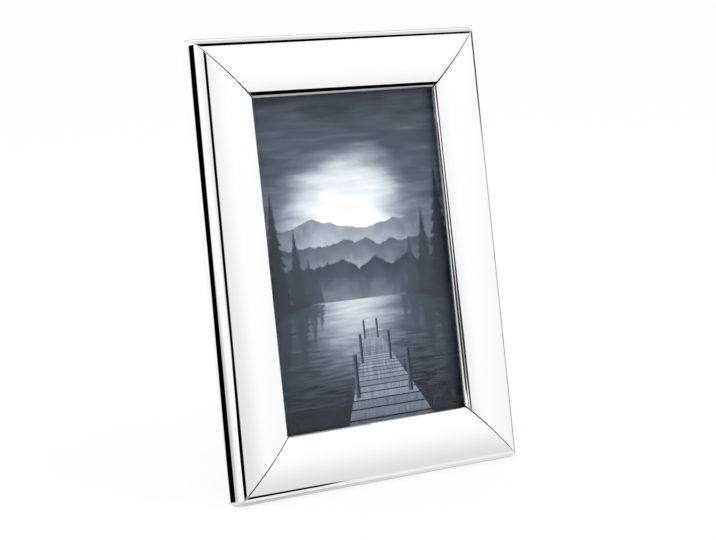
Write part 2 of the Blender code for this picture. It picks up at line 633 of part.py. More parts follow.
def stand_on_table():
    # Moves the leaning frame so that the origin lies under the middle of its bounding box.
    bpy.context.view_layer.update()
    depsgraph = bpy.context.evaluated_depsgraph_get()
    corners = []
    for piece in PARTS.objects:
        if piece.type == "MESH":
            solid = piece.evaluated_get(depsgraph)
            corners += [solid.matrix_world @ vertex.co for vertex in solid.data.vertices]
    low = [min(corner[axis] for corner in corners) for axis in range(3)]
    high = [max(corner[axis] for corner in corners) for axis in range(3)]
    LEAN_EMPTY.location = (-(low[0] + high[0]) / 2, -(low[1] + high[1]) / 2, -low[2])
    bpy.context.view_layer.update()


clear_scene()
PARTS = new_collection("steel_photo_frame")
CUTTERS = new_collection("cutters")
LEAN_EMPTY = bpy.data.objects.new("frame_lean", None)
PARTS.objects.link(LEAN_EMPTY)
LEAN_EMPTY.rotation_euler = (-LEAN, 0, 0)

add_rails()
add_corners()
back_board = add_pack()
add_turn_buttons()
add_hinge(back_board)
add_strut()
stand_on_table()
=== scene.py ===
# Polished steel photo frame on a plain white table: looks, light and camera.
from math import asin, atan2, cos, pi, radians, sin, sqrt, tan

import bpy
from mathutils import Matrix, Vector
from mathutils.geometry import tessellate_polygon


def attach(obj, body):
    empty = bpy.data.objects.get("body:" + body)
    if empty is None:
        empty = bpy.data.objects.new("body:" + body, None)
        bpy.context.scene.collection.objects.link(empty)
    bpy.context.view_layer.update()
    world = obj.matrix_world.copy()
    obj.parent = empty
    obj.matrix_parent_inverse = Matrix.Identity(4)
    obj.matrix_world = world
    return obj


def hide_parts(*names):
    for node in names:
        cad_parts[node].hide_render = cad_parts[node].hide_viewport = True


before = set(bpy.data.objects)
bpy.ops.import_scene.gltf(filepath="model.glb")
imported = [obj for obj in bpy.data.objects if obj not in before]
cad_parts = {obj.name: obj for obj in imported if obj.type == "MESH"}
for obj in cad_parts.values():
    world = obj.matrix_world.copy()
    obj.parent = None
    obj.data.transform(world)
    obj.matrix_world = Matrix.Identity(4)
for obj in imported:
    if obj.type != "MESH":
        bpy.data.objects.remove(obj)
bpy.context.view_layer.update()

mm = 0.001

# How the frame stands. Its own axes are X right, Y back and Z up before it leans.
standing = {
    "lean": 12.0,                            # degrees from upright
    "origin": (0.0, -0.023552, -0.000279),   # rear bottom edge's line, in metres
    "strutSpread": 23.0,                     # degrees between back board and strut
    "hingeY": 2.5,
    "hingeHeight": 128.0,
}
leanMatrix = (Matrix.Translation(standing["origin"])
              @ Matrix.Rotation(radians(-standing["lean"]), 4, "X"))
strutMatrix = (leanMatrix
               @ Matrix.Translation((0, standing["hingeY"] * mm, standing["hingeHeight"] * mm))
               @ Matrix.Rotation(radians(standing["strutSpread"]), 4, "X"))


# Small helpers for shader nodes

def newMaterial(name):
    material = bpy.data.materials.new(name)
    material.use_nodes = True
    tree = material.node_tree
    return material, tree, tree.nodes["Principled BSDF"]


def addNode(tree, kind, **settings):
    made = tree.nodes.new(kind)
    for key, value in settings.items():
        setattr(made, key, value)
    return made


def feed(tree, value, socket):
    # value may be a socket or a plain number, colour or vector
    if isinstance(value, bpy.types.NodeSocket):
        tree.links.new(value, socket)
    else:
        socket.default_value = value


def feedAll(tree, node, values):
    for key, value in values.items():
        feed(tree, value, node.inputs[key])


def calc(tree, operation, *values, clamp=False):
    made = addNode(tree, "ShaderNodeMath", operation=operation, use_clamp=clamp)
    for value, socket in zip(values, made.inputs):
        feed(tree, value, socket)
    return made.outputs[0]


def step(tree, value, low, high, start=0.0, end=1.0):
    # smooth change from start to end while value goes from low to high
    made = addNode(tree, "ShaderNodeMapRange", interpolation_type="SMOOTHSTEP")
    feedAll(tree, made, {"Value": value, "From Min": low, "From Max": high, "To Min": start, "To Max": end})
    return made.outputs["Result"]


def blend(tree, factor, first, second):
    made = addNode(tree, "ShaderNodeMix", data_type="FLOAT")
    for socket, item in zip(made.inputs[0:1] + made.inputs[2:4], (factor, first, second)):
        feed(tree, item, socket)
    return made.outputs[0]


def placed(tree, coordinates, scale):
    made = addNode(tree, "ShaderNodeMapping")
    feedAll(tree, made, {"Vector": coordinates, "Scale": scale})
    return made.outputs[0]


def noise(tree, vector, scale, detail, roughness):
    made = addNode(tree, "ShaderNodeTexNoise")
    feedAll(tree, made, {"Vector": vector, "Scale": scale, "Detail": detail, "Roughness": roughness})
    return made.outputs["Fac"]


def tinted(tree, factor, places, colours):
    made = addNode(tree, "ShaderNodeValToRGB")
    feed(tree, factor, made.inputs[0])
    elements = made.color_ramp.elements
    while len(elements) < len(places):
        elements.new(0.5)
    for element, place, colour in zip(elements, places, colours):
        element.position = place
        element.color = (*colour, 1.0)
    return made.outputs[0]


def bumped(tree, shader, height, strength, distance):
    made = addNode(tree, "ShaderNodeBump")
    feedAll(tree, made, {"Strength": strength, "Distance": distance, "Height": height})
    tree.links.new(made.outputs[0], shader.inputs["Normal"])


def objectCoordinates(tree):
    return addNode(tree, "ShaderNodeTexCoord").outputs["Object"]


def generatedAxes(tree):
    split = addNode(tree, "ShaderNodeSeparateXYZ")
    tree.links.new(addNode(tree, "ShaderNodeTexCoord").outputs["Generated"], split.inputs[0])
    return split.outputs


def mixedWith(tree, shader, share, other):
    # the other shader takes the place of the first one by its share
    mixed = addNode(tree, "ShaderNodeMixShader")
    for item, socket in zip((share, shader.outputs[0], other.outputs[0]), mixed.inputs):
        tree.links.new(item, socket)
    tree.links.new(mixed.outputs[0], tree.nodes["Material Output"].inputs["Surface"])


# Materials

steelLook = {
    "colour": (0.945, 0.948, 0.955),
    "roughness": (0.012, 0.045),      # clean metal to the faint film of handling
    "film": 38.0,                     # patches to the metre
    "specks": 2400.0,
    "speckRoughness": 0.03,
    "scratchSpacing": 0.0004,         # metres across the polishing lines
    "scratchStretch": 6.0,            # lines to the metre along the rail
    "scratchRoughness": 0.02,
    "scratchDepth": 0.0000004,
}


def polishedSteel():
    material, tree, shader = newMaterial("polishedSteel")
    place = objectCoordinates(tree)
    alongRail = addNode(tree, "ShaderNodeUVMap", uv_map="polishing").outputs[0]
    stretch = (steelLook["scratchStretch"], 1.0 / steelLook["scratchSpacing"], 1.0)
    lines = noise(tree, placed(tree, alongRail, stretch), 1.0, 3.0, 0.6)
    film = noise(tree, place, steelLook["film"], 5.0, 0.62)
    specks = noise(tree, place, steelLook["specks"], 2.0, 0.6)
    clean, filmed = steelLook["roughness"]
    rough = calc(tree, "ADD", step(tree, film, 0.42, 0.78, clean, filmed),
                 step(tree, specks, 0.66, 0.80, 0.0, steelLook["speckRoughness"]))
    rough = calc(tree, "ADD", rough, step(tree, lines, 0.60, 0.85, 0.0, steelLook["scratchRoughness"]))
    feedAll(tree, shader, {"Metallic": 1.0, "Base Color": (*steelLook["colour"], 1.0), "Roughness": rough})
    bumped(tree, shader, lines, 0.25, steelLook["scratchDepth"])
    return material


nickelLook = {
    "colours": ((0.63, 0.615, 0.58), (0.72, 0.71, 0.68)),
    "roughness": (0.10, 0.20),
    "patches": 420.0,                 # to the metre
    "grain": 3200.0,
    "grainRoughness": 0.06,
    "grainDepth": 0.000003,
}


def nickelPlate():
    # bright plating on pressed hardware, darker and duller in patches at random
    material, tree, shader = newMaterial("nickelPlate")
    place = objectCoordinates(tree)
    patches = noise(tree, place, nickelLook["patches"], 4.0, 0.6)
    grain = noise(tree, place, nickelLook["grain"], 3.0, 0.65)
    colour = tinted(tree, patches, (0.35, 0.62), nickelLook["colours"])
    rough = calc(tree, "ADD", step(tree, patches, 0.35, 0.75, *nickelLook["roughness"]),
                 step(tree, grain, 0.5, 0.8, 0.0, nickelLook["grainRoughness"]))
    feedAll(tree, shader, {"Metallic": 1.0, "Base Color": colour, "Roughness": rough})
    bumped(tree, shader, grain, 0.30, nickelLook["grainDepth"])
    return material


aluminiumLook = {
    "colours": ((0.42, 0.43, 0.44), (0.62, 0.63, 0.64)),
    "roughness": (0.38, 0.56),
    "stains": 120.0,                  # to the metre
    "grain": 1800.0,
    "grainDepth": 0.00004,
}


def castAluminium():
    material, tree, shader = newMaterial("castAluminium")
    place = objectCoordinates(tree)
    grain = noise(tree, place, aluminiumLook["grain"], 4.0, 0.7)
    stains = noise(tree, place, aluminiumLook["stains"], 3.0, 0.6)
    colour = tinted(tree, stains, (0.3, 0.7), aluminiumLook["colours"])
    rough = step(tree, grain, 0.3, 0.7, *aluminiumLook["roughness"])
    feedAll(tree, shader, {"Metallic": 1.0, "Base Color": colour, "Roughness": rough})
    bumped(tree, shader, grain, 0.5, aluminiumLook["grainDepth"])
    return material


velourLook = {
    "colours": ((0.006, 0.006, 0.007), (0.026, 0.026, 0.029)),
    "roughness": (0.84, 0.98),
    "sheen": 0.35,
    "sheenTint": (0.55, 0.56, 0.60),
    "pile": 2600.0,                   # tufts to the metre
    "pileDepth": 0.00012,
    "napAndSheenPatches": 55.0,
}


def blackVelour():
    material, tree, shader = newMaterial("blackVelour")
    place = objectCoordinates(tree)
    pile = noise(tree, place, velourLook["pile"], 3.0, 0.7)
    # patches where the pile lies different ways: their roughness is the cloth's own, and their lighter and
    # darker colour is painted sheen
    napAndSheen = noise(tree, placed(tree, place, (1.0, 1.0, 0.45)), velourLook["napAndSheenPatches"], 4.0, 0.6)
    tone = calc(tree, "ADD", calc(tree, "MULTIPLY", napAndSheen, 0.6), calc(tree, "MULTIPLY", pile, 0.4))
    feedAll(tree, shader, {
        "Base Color": tinted(tree, tone, (0.34, 0.66), velourLook["colours"]),
        "Roughness": step(tree, napAndSheen, 0.3, 0.7, *velourLook["roughness"]),
        "Sheen Weight": velourLook["sheen"],
        "Sheen Roughness": 0.45,
        "Sheen Tint": (*velourLook["sheenTint"], 1.0),
        "Specular IOR Level": 0.15,
    })
    bumped(tree, shader, pile, 0.8, velourLook["pileDepth"])
    return material


cardLook = {
    "colours": ((0.74, 0.73, 0.69), (0.84, 0.83, 0.80)),
    "roughness": (0.74, 0.88),
    "fibres": 900.0,                  # to the metre
    "fibreDepth": 0.00003,
}


def whiteCard():
    material, tree, shader = newMaterial("whiteCard")
    place = objectCoordinates(tree)
    fibres = noise(tree, placed(tree, place, (1.0, 1.0, 0.5)), cardLook["fibres"], 4.0, 0.7)
    colour = tinted(tree, fibres, (0.3, 0.7), cardLook["colours"])
    rough = step(tree, fibres, 0.3, 0.7, *cardLook["roughness"])
    feedAll(tree, shader, {"Base Color": colour, "Roughness": rough})
    bumped(tree, shader, fibres, 0.4, cardLook["fibreDepth"])
    return material


glassLook = {
    "roughness": (0.004, 0.02),       # clean glass to wiped patches
    "bending": 1.2,                   # coated glass, so less than bare glass
    "tint": (0.975, 0.985, 0.985),
    "wipes": 60.0,                    # to the metre
}


def pictureGlass():
    # clear to lamps, so that the print behind it is lit as well as seen
    material, tree, shader = newMaterial("pictureGlass")
    place = objectCoordinates(tree)
    tint = (*glassLook["tint"], 1.0)
    wipes = noise(tree, placed(tree, place, (1.0, 1.0, 0.3)), glassLook["wipes"], 4.0, 0.6)
    rough = step(tree, wipes, 0.45, 0.75, *glassLook["roughness"])
    feedAll(tree, shader, {"Base Color": tint, "Transmission Weight": 1.0, "IOR": glassLook["bending"],
                           "Roughness": rough})
    clear = addNode(tree, "ShaderNodeBsdfTransparent")
    feedAll(tree, clear, {"Color": tint})
    rays = addNode(tree, "ShaderNodeLightPath")
    lit = calc(tree, "MAXIMUM", rays.outputs["Is Shadow Ray"], rays.outputs["Is Diffuse Ray"])
    mixedWith(tree, shader, lit, clear)
    return material


# The print: a misty lake between wooded hills with a jetty, in blue-grey tones

pictureLook = {
    "horizon": 0.385,                 # heights and widths are shares of the print
    "glowCentre": (0.47, 0.600),
    "textures": {                     # patches across and up, seed, detail and roughness
        "cloud": (2.2, 9.0, 3.1, 7.0, 0.58),
        "wisps": (5.0, 46.0, 8.3, 6.0, 0.65),
        "ripples": (9.0, 120.0, 5.5, 4.0, 0.65),
        "swell": (2.5, 26.0, 1.5, 3.0, 0.5),
        "needles": (210.0, 330.0, 0.0, 3.0, 0.7),
        "bank": (2.6, 0.0, 41.0, 4.0, 0.5),
        "blades": (190.0, 2.5, 47.0, 2.0, 0.8),
        "clumps": (14.0, 0.0, 52.0, 3.0, 0.6),
        "ground": (40.0, 66.0, 60.0, 6.0, 0.75),
        "wear": (150.0, 14.0, 71.0, 5.0, 0.7),
        "paper": (620.0, 930.0, 0.0, 2.0, 0.6),
    },
    "hills": (                        # height, rise, patches across, seed, tone, tone at the foot
        (0.600, 0.055, 3.2, 4.7, 0.58, 0.84),
        (0.530, 0.055, 4.6, 11.3, 0.37, 0.70),
        (0.468, 0.050, 6.5, 23.9, 0.19, 0.46),
    ),
    "trees": (                        # place across, foot, height, half width, tone
        (0.262, 0.386, 0.130, 0.030, 0.17), (0.300, 0.388, 0.085, 0.021, 0.20),
        (0.205, 0.382, 0.215, 0.046, 0.12), (0.110, 0.376, 0.330, 0.062, 0.08),
        (0.030, 0.370, 0.455, 0.080, 0.05), (0.716, 0.388, 0.095, 0.022, 0.21),
        (0.765, 0.384, 0.165, 0.036, 0.16), (0.838, 0.380, 0.250, 0.052, 0.11),
        (0.925, 0.374, 0.375, 0.070, 0.07), (0.990, 0.370, 0.290, 0.060, 0.05),
    ),
    "tiers": 11.0,
    "jetty": (0.300, 0.505, 0.555, 0.36, 0.84),   # far end's height, its two sides, the near end's two sides
    "planks": 9.0,
    "posts": (                        # place across, foot, top, half width
        (0.498, 0.272, 0.325, 0.0045), (0.562, 0.272, 0.325, 0.0045), (0.474, 0.205, 0.287, 0.0068),
        (0.615, 0.205, 0.287, 0.0068), (0.438, 0.110, 0.232, 0.0105), (0.700, 0.110, 0.232, 0.0105),
    ),
    "inks": (                         # tone and its colour on the paper
        (0.00, (0.001, 0.003, 0.005)), (0.25, (0.066, 0.083, 0.108)), (0.45, (0.177, 0.204, 0.248)),
        (0.70, (0.470, 0.502, 0.555)), (1.00, (0.872, 0.877, 0.907)),
    ),
}


def lakePrint():
    material, tree, shader = newMaterial("lakePrint")
    axes = generatedAxes(tree)
    across, up = axes["X"], axes["Z"]

    def less(first, second):
        return calc(tree, "SUBTRACT", first, second)

    def times(first, second):
        return calc(tree, "MULTIPLY", first, second)

    def plus(first, second):
        return calc(tree, "ADD", first, second)

    def scaled(value, factor, shift):
        return calc(tree, "MULTIPLY_ADD", value, factor, shift)

    def grown(scaleAcross, scaleUp, shift, detail, roughness):
        both = addNode(tree, "ShaderNodeCombineXYZ")
        feedAll(tree, both, {"X": scaled(across, scaleAcross, shift), "Y": times(up, scaleUp)})
        return noise(tree, both.outputs[0], 1.0, detail, roughness)

    def texture(name):
        return grown(*pictureLook["textures"][name])

    def under(height, soft):
        return step(tree, less(up, height), -soft, soft, 1.0, 0.0)

    def inside(value, middle, halfWidth, soft):
        return step(tree, less(calc(tree, "ABSOLUTE", less(value, middle)), halfWidth), -soft, soft, 1.0, 0.0)

    # sky: darker at the top, a wide glow over the hills, streaks of cloud
    glowX, glowY = pictureLook["glowCentre"]
    offX = times(less(across, glowX), 1.25)
    offY = times(less(up, glowY), 1.9)
    away = calc(tree, "SQRT", plus(times(offX, offX), times(offY, offY)))
    cloud = texture("cloud")
    away = plus(away, step(tree, cloud, 0.3, 0.75, -0.07, 0.10))
    glow = step(tree, away, 0.17, 0.50, 1.0, 0.0)
    tone = plus(step(tree, up, 0.55, 1.0, 0.36, 0.20), times(glow, 0.66))
    tone = plus(tone, step(tree, cloud, 0.36, 0.72, -0.07, 0.06))
    wisps = texture("wisps")
    tone = plus(tone, step(tree, wisps, 0.35, 0.8, -0.05, 0.08))

    # hills, each with haze at its foot, the nearer ones wooded
    glowSide = inside(across, glowX, 0.26, 0.24)
    for number, (height, rise, scale, seed, dark, pale) in enumerate(pictureLook["hills"]):
        ridge = grown(scale, 0.0, seed, 6.0, 0.5)
        top = scaled(less(ridge, 0.5), rise * 2.6, height)
        if number:
            crowns = grown(150.0 - 22.0 * number, 0.0, seed, 3.0, 0.75)
            top = scaled(crowns, 0.012 * (number + 1), top)
        haze = step(tree, less(top, up), 0.0, 0.12, dark, pale)
        haze = times(haze, scaled(glowSide, 0.46, 0.54))
        folds = grown(14.0, 24.0, seed + 2.0, 6.0, 0.65)
        haze = plus(haze, step(tree, folds, 0.35, 0.7, -0.04, 0.04))
        tone = blend(tree, under(top, 0.0014), tone, haze)

    # water: the glow again, dimmed towards the viewer and broken by ripples
    horizon = pictureLook["horizon"]
    depth = less(horizon, up)
    ripples = texture("ripples")
    swell = texture("swell")
    aside = plus(less(across, glowX), times(less(swell, 0.5), 0.22))
    lane = step(tree, calc(tree, "ABSOLUTE", aside), 0.02, 0.30, 1.0, 0.0)
    water = step(tree, depth, 0.0, 0.33, 0.26, 0.08)
    water = plus(water, times(lane, step(tree, depth, 0.0, 0.30, 0.52, 0.03)))
    broken = step(tree, ripples, 0.35, 0.68, -0.5, 0.5)
    water = plus(water, times(broken, step(tree, depth, 0.0, 0.2, 0.08, 0.16)))
    tone = blend(tree, under(horizon, 0.0012), tone, water)

    # conifers on both banks, with their likeness broken up in the water
    rough = texture("needles")

    def wood(acrossHere, upHere, tone, share):
        for place, foot, height, halfWidth, dark in pictureLook["trees"]:
            rise = calc(tree, "DIVIDE", less(upHere, foot), height)
            tier = calc(tree, "FRACT", times(rise, pictureLook["tiers"]))
            skirt = scaled(tier, -0.50 * halfWidth, 1.25 * halfWidth)
            width = times(less(1.02, rise), skirt)
            width = plus(width, scaled(rough, 0.8 * halfWidth, -0.44 * halfWidth))
            wide = less(width, calc(tree, "ABSOLUTE", less(acrossHere, place)))
            shape = times(step(tree, wide, -0.001, 0.0012), step(tree, rise, -0.01, 0.01))
            shade = scaled(rough, 0.07, dark - 0.02)
            tone = blend(tree, times(shape, share), tone, shade)
        return tone

    wavy = scaled(less(ripples, 0.5), 0.05, across)
    mirrored = scaled(depth, 1.15, horizon)
    tone = wood(wavy, mirrored, tone, 0.72)
    tone = wood(across, up, tone, 1.0)
    edge = plus(calc(tree, "ABSOLUTE", less(across, 0.505)), times(less(swell, 0.5), 0.05))
    bankTop = step(tree, edge, 0.17, 0.50, horizon - 0.006, horizon + 0.016)
    bankFoot = step(tree, edge, 0.17, 0.50, horizon + 0.004, horizon - 0.035)
    bank = times(under(bankTop, 0.002), step(tree, less(up, bankFoot), -0.001, 0.001))
    bank = times(bank, step(tree, edge, 0.17, 0.19))
    tone = blend(tree, bank, tone, scaled(rough, 0.10, 0.05))

    # near bank with reeds
    bankTop = scaled(texture("bank"), 0.13, 0.020)
    blades = texture("blades")
    clumps = texture("clumps")
    reeds = times(step(tree, blades, 0.42, 0.75, 0.0, 0.15), step(tree, clumps, 0.35, 0.65, 0.15, 1.0))
    reedTop = plus(bankTop, reeds)
    tone = blend(tree, times(under(reedTop, 0.005), 0.95), tone, times(blades, 0.12))
    ground = texture("ground")
    tone = blend(tree, under(bankTop, 0.006), tone, step(tree, ground, 0.3, 0.75, 0.0, 0.15))

    # jetty: planks drawn closer together towards its far end, posts down both sides
    farUp, farLeft, farRight, nearLeft, nearRight = pictureLook["jetty"]
    share = calc(tree, "DIVIDE", less(farUp, up), farUp)
    left = scaled(share, nearLeft - farLeft, farLeft)
    right = scaled(share, nearRight - farRight, farRight)
    soft = 0.0012
    deck = times(step(tree, less(across, left), -soft, soft), step(tree, less(right, across), -soft, soft))
    deck = times(deck, under(farUp, 0.001))
    plank = calc(tree, "DIVIDE", pictureLook["planks"], plus(share, 0.16))
    onBoard = inside(calc(tree, "FRACT", plank), 0.5, 0.43, 0.04)
    wear = texture("wear")
    board = noise(tree, calc(tree, "FLOOR", plank), 3.7, 0.0, 0.5)
    boards = plus(step(tree, share, 0.0, 1.0, 0.56, 0.36), step(tree, wear, 0.3, 0.75, -0.10, 0.09))
    boards = plus(boards, scaled(board, 0.26, -0.13))
    tone = blend(tree, deck, tone, blend(tree, onBoard, 0.05, boards))
    for place, foot, top, halfWidth in pictureLook["posts"]:
        post = inside(up, (foot + top) / 2, (top - foot) / 2, 0.001)
        post = times(inside(across, place, halfWidth, 0.001), post)
        side = step(tree, less(across, place), -halfWidth, halfWidth, 0.30, 0.04)
        tone = blend(tree, post, tone, side)

    grain = texture("paper")
    tone = calc(tree, "ADD", tone, step(tree, grain, 0.2, 0.8, -0.015, 0.015), clamp=True)
    colour = tinted(tree, tone, *zip(*pictureLook["inks"]))
    roughness = step(tree, grain, 0.2, 0.8, 0.34, 0.44)
    feedAll(tree, shader, {"Base Color": colour, "Roughness": roughness, "Specular IOR Level": 0.08})
    bumped(tree, shader, grain, 0.10, 0.000004)
    return material


looks = {
    "steel": polishedSteel(),
    "nickel": nickelPlate(),
    "aluminium": castAluminium(),
    "velour": blackVelour(),
    "card": whiteCard(),
    "glass": pictureGlass(),
    "print": lakePrint(),
}
print("materials made")


# Small helpers for shapes. Sizes are in millimetres and become metres in the mesh.

sharpFrom = 22.0                      # degrees between two faces from which their edge stays sharp


def newObject(name, data):
    made = bpy.data.objects.new(name, data)
    bpy.context.scene.collection.objects.link(made)
    return made


def addPiece(name, mesh, look, slot, body="frame", matrix=leanMatrix, replaces=()):
    piece = newObject(name, mesh)
    mesh.materials.clear()
    mesh.materials.append(looks[look])
    mesh.transform(matrix)                   # the place goes into the mesh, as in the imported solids
    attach(piece, body)
    for node in replaces:
        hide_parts(node)


def meshFrom(name, points, faces, sharpAngle=sharpFrom):
    mesh = bpy.data.meshes.new(name)
    mesh.from_pydata([Vector(point) * mm for point in points], [], faces)
    mesh.shade_smooth()
    mesh.set_sharp_from_angle(angle=radians(sharpAngle))
    return mesh


def arc(centreA, centreB, radius, start, end, steps):
    points = []
    for number in range(steps + 1):
        angle = start + (end - start) * number / steps
        points.append((centreA + radius * cos(angle), centreB + radius * sin(angle)))
    return points


def joined(first, second, count):
    # faces between two closed rings of points, which start at first and at second
    faces = []
    for item in range(count):
        following = (item + 1) % count
        faces.append((first + item, first + following, second + following, second + item))
    return faces


def cutEnds(count, last):
    # faces over the first and the last ring of a bent sheet, whose outline goes out and back again
    faces = []
    for item in range(count // 2 - 1):
        mate = count - 1 - item
        faces.append((item, mate, mate - 1, item + 1))
        faces.append((last + item, last + item + 1, last + mate - 1, last + mate))
    return faces


def rounded(corners, radius, steps):
    outline = []
    count = len(corners)
    for index in range(count):
        here = Vector(corners[index])
        before = (Vector(corners[index - 1]) - here).normalized()
        after = (Vector(corners[(index + 1) % count]) - here).normalized()
        half = before.angle(after) / 2
        centre = here + (before + after).normalized() * radius / sin(half)
        first = here + before * radius * cos(half) / sin(half) - centre
        last = here + after * radius * cos(half) / sin(half) - centre
        start = atan2(first.y, first.x)
        sweep = (atan2(last.y, last.x) - start + pi) % (2 * pi) - pi
        outline += arc(centre.x, centre.y, radius, start, start + sweep, steps)
    return outline


# Rails

railSize = {
    "outerWidth": 141.0,
    "outerHeight": 191.8,
    "sheet": 0.8,
    "pocketInset": 19.2,
    "openingInset": 25.9,
    "ledgeY": -6.95,
    "crestY": -11.25,
    "crestInset": 15.0,
    "faceRadius": 36.5,
    "shoulderRadius": 4.8,
    "openingEdgeRadius": 2.0,
    "foldRadius": 1.0,
    "ledgeCornerRadius": 0.4,
    "backEdgeRadius": 1.5,
    "seamInset": 17.0,
    "seamGap": 0.6,
    "planCornerRadius": 2.5,
    "sharpFrom": 40.0,                # degrees, as the bends have few faces
}

mitreSize = {
    "topLeft": (0.16, 0.58),          # open line between two rails, at the outer corner and at the opening
    "topRight": (0.16, 0.56),
    "bottomLeft": (0.54, 0.32),
    "bottomRight": (0.14, 0.54),
    "tight": (1.5, 3.5, 0.15),        # opens from this inset, over this width, from this share of the line
    "lip": 0.12,
    "lipRounding": ((0.0, 1.0), (0.08, 0.6), (0.3, 0.28), (0.6, 0.08), (1.0, 0.0)),
    "rows": (0.42, 0.65, 0.9, 1.15, 1.4, 1.65, 1.9, 2.2, 2.6, 4.0, 8.0, 16.0),    # from the mitre
}


def railSection(inwards):
    # closed skin at a depth under the outer surface, as (inset, y) points
    size = railSize
    faceY = size["crestY"] + size["faceRadius"]

    def touching(inset, radius):
        offset = inset - size["crestInset"]
        centreY = faceY - sqrt((size["faceRadius"] - radius) ** 2 - offset ** 2)
        return centreY, atan2(centreY - faceY, offset)

    edgeInset = size["openingInset"] - size["openingEdgeRadius"]
    edgeY, edgeAngle = touching(edgeInset, size["openingEdgeRadius"])
    shoulderY, shoulderAngle = touching(size["shoulderRadius"], size["shoulderRadius"])
    fold = size["foldRadius"]
    corner = size["ledgeCornerRadius"]
    back = size["backEdgeRadius"]
    points = [(size["seamInset"] + size["seamGap"] / 2, -inwards)]
    points += arc(size["pocketInset"] - fold, -fold, fold - inwards, pi / 2, 0, 8)
    points += arc(size["pocketInset"] + corner, size["ledgeY"] + corner, corner + inwards, pi, pi * 1.5, 6)
    points += arc(size["openingInset"] - fold, size["ledgeY"] - fold, fold - inwards, pi / 2, 0, 8)
    points += arc(edgeInset, edgeY, size["openingEdgeRadius"] - inwards, 0, edgeAngle, 22)
    points += arc(size["crestInset"], faceY, size["faceRadius"] - inwards, edgeAngle, shoulderAngle, 48)[1:]
    points += arc(size["shoulderRadius"], shoulderY, size["shoulderRadius"] - inwards,
                  shoulderAngle, -pi, 30)[1:]
    points += arc(back, -back, back - inwards, pi, pi / 2, 12)
    points.append((size["seamInset"] - size["seamGap"] / 2, -inwards))
    return points


def railPoint(inset, along, length):
    # one point in plan, at a distance along the rail from its mitre. The outer corner is rounded.
    corner = railSize["planCornerRadius"]
    slant = min(1.0, max(0.0, inset / corner))
    along *= 1 + (sqrt(2) - 1) * slant
    radius = corner - inset
    if radius <= 0:
        return inset + along - length / 2, inset
    turn = pi / 4 - along / radius
    if turn > 0:
        return corner - radius * sin(turn) - length / 2, corner - radius * cos(turn)
    return corner + along - radius * pi / 4 - length / 2, inset


def railMesh(name, length, corners):
    lip = mitreSize["lip"]
    tightTo, tightOver, tightest = mitreSize["tight"]
    rings = []
    for side, corner in zip((-1, 1), corners):
        atOuter, atOpening = mitreSize[corner]
        places = [(share * lip, sunk * lip, True) for share, sunk in mitreSize["lipRounding"]]
        places += [(reach, 0.0, False) for reach in mitreSize["rows"]]
        for along, sunk, atEdge in (places if side < 0 else reversed(places)):
            outer = railSection(sunk)
            inner = railSection(railSize["sheet"])
            ring = []
            for inset, y in outer + inner[::-1]:
                share = min(1.0, max(0.0, inset / railSize["openingInset"]))
                tight = min(1.0, max(tightest, (inset - tightTo) / tightOver))
                gap = (atOuter + (atOpening - atOuter) * share) * tight / 2
                x, z = railPoint(inset, along + gap if atEdge else along, length)
                ring.append((x if side < 0 else -x, y, z))
            rings.append(ring)
    count = len(rings[0])
    points = [point for ring in rings for point in ring]
    faces = []
    for index in range(len(rings) - 1):
        faces += joined(index * count, (index + 1) * count, count)
    faces += cutEnds(count, len(points) - count)
    mesh = meshFrom(name, points, faces, railSize["sharpFrom"])
    mapRail(mesh, points, count)
    return mesh


def mapRail(mesh, points, count):
    # flat map for the polishing lines: along the rail, and round its section
    girth = [0.0]
    for item in range(1, count):
        girth.append(girth[-1] + (Vector(points[item]) - Vector(points[item - 1])).yz.length)
    layer = mesh.uv_layers.new(name="polishing")
    for loop in mesh.loops:
        layer.data[loop.index].uv = (points[loop.vertex_index][0] * mm, girth[loop.vertex_index % count] * mm)


def addRails():
    width, height = railSize["outerWidth"], railSize["outerHeight"]
    rails = (
        ("bottomRail", "bottom_rail", width, (0, 0, 0), 0, ("bottomLeft", "bottomRight")),
        ("topRail", "top_rail", width, (0, 0, height), pi, ("topRight", "topLeft")),
        ("leftRail", "left_rail", height, (-width / 2, 0, height / 2), pi / 2, ("topLeft", "bottomLeft")),
        ("rightRail", "right_rail", height, (width / 2, 0, height / 2), -pi / 2, ("bottomRight", "topRight")),
    )
    for name, node, length, place, turn, corners in rails:
        matrix = leanMatrix @ Matrix.Translation(Vector(place) * mm) @ Matrix.Rotation(turn, 4, "Y")
        addPiece(name, railMesh(name, length, corners), "steel", "polished_steel", matrix=matrix,
                 replaces=(node,))


addRails()
print("rails made")


# Hardware and strut. These shape helpers give the points and faces of one closed shape.

def shifted(contour, distance):
    # every point of a closed contour moved to the left of its direction of travel
    result = []
    for index, (a, b) in enumerate(contour):
        here = Vector((a, b))
        before = (here - Vector(contour[index - 1])).normalized()
        after = (Vector(contour[(index + 1) % len(contour)]) - here).normalized()
        left = Vector((-after.y, after.x))
        middle = (Vector((-before.y, before.x)) + left).normalized()
        result.append(tuple(here + middle * distance / max(0.4, middle.dot(left))))
    return result


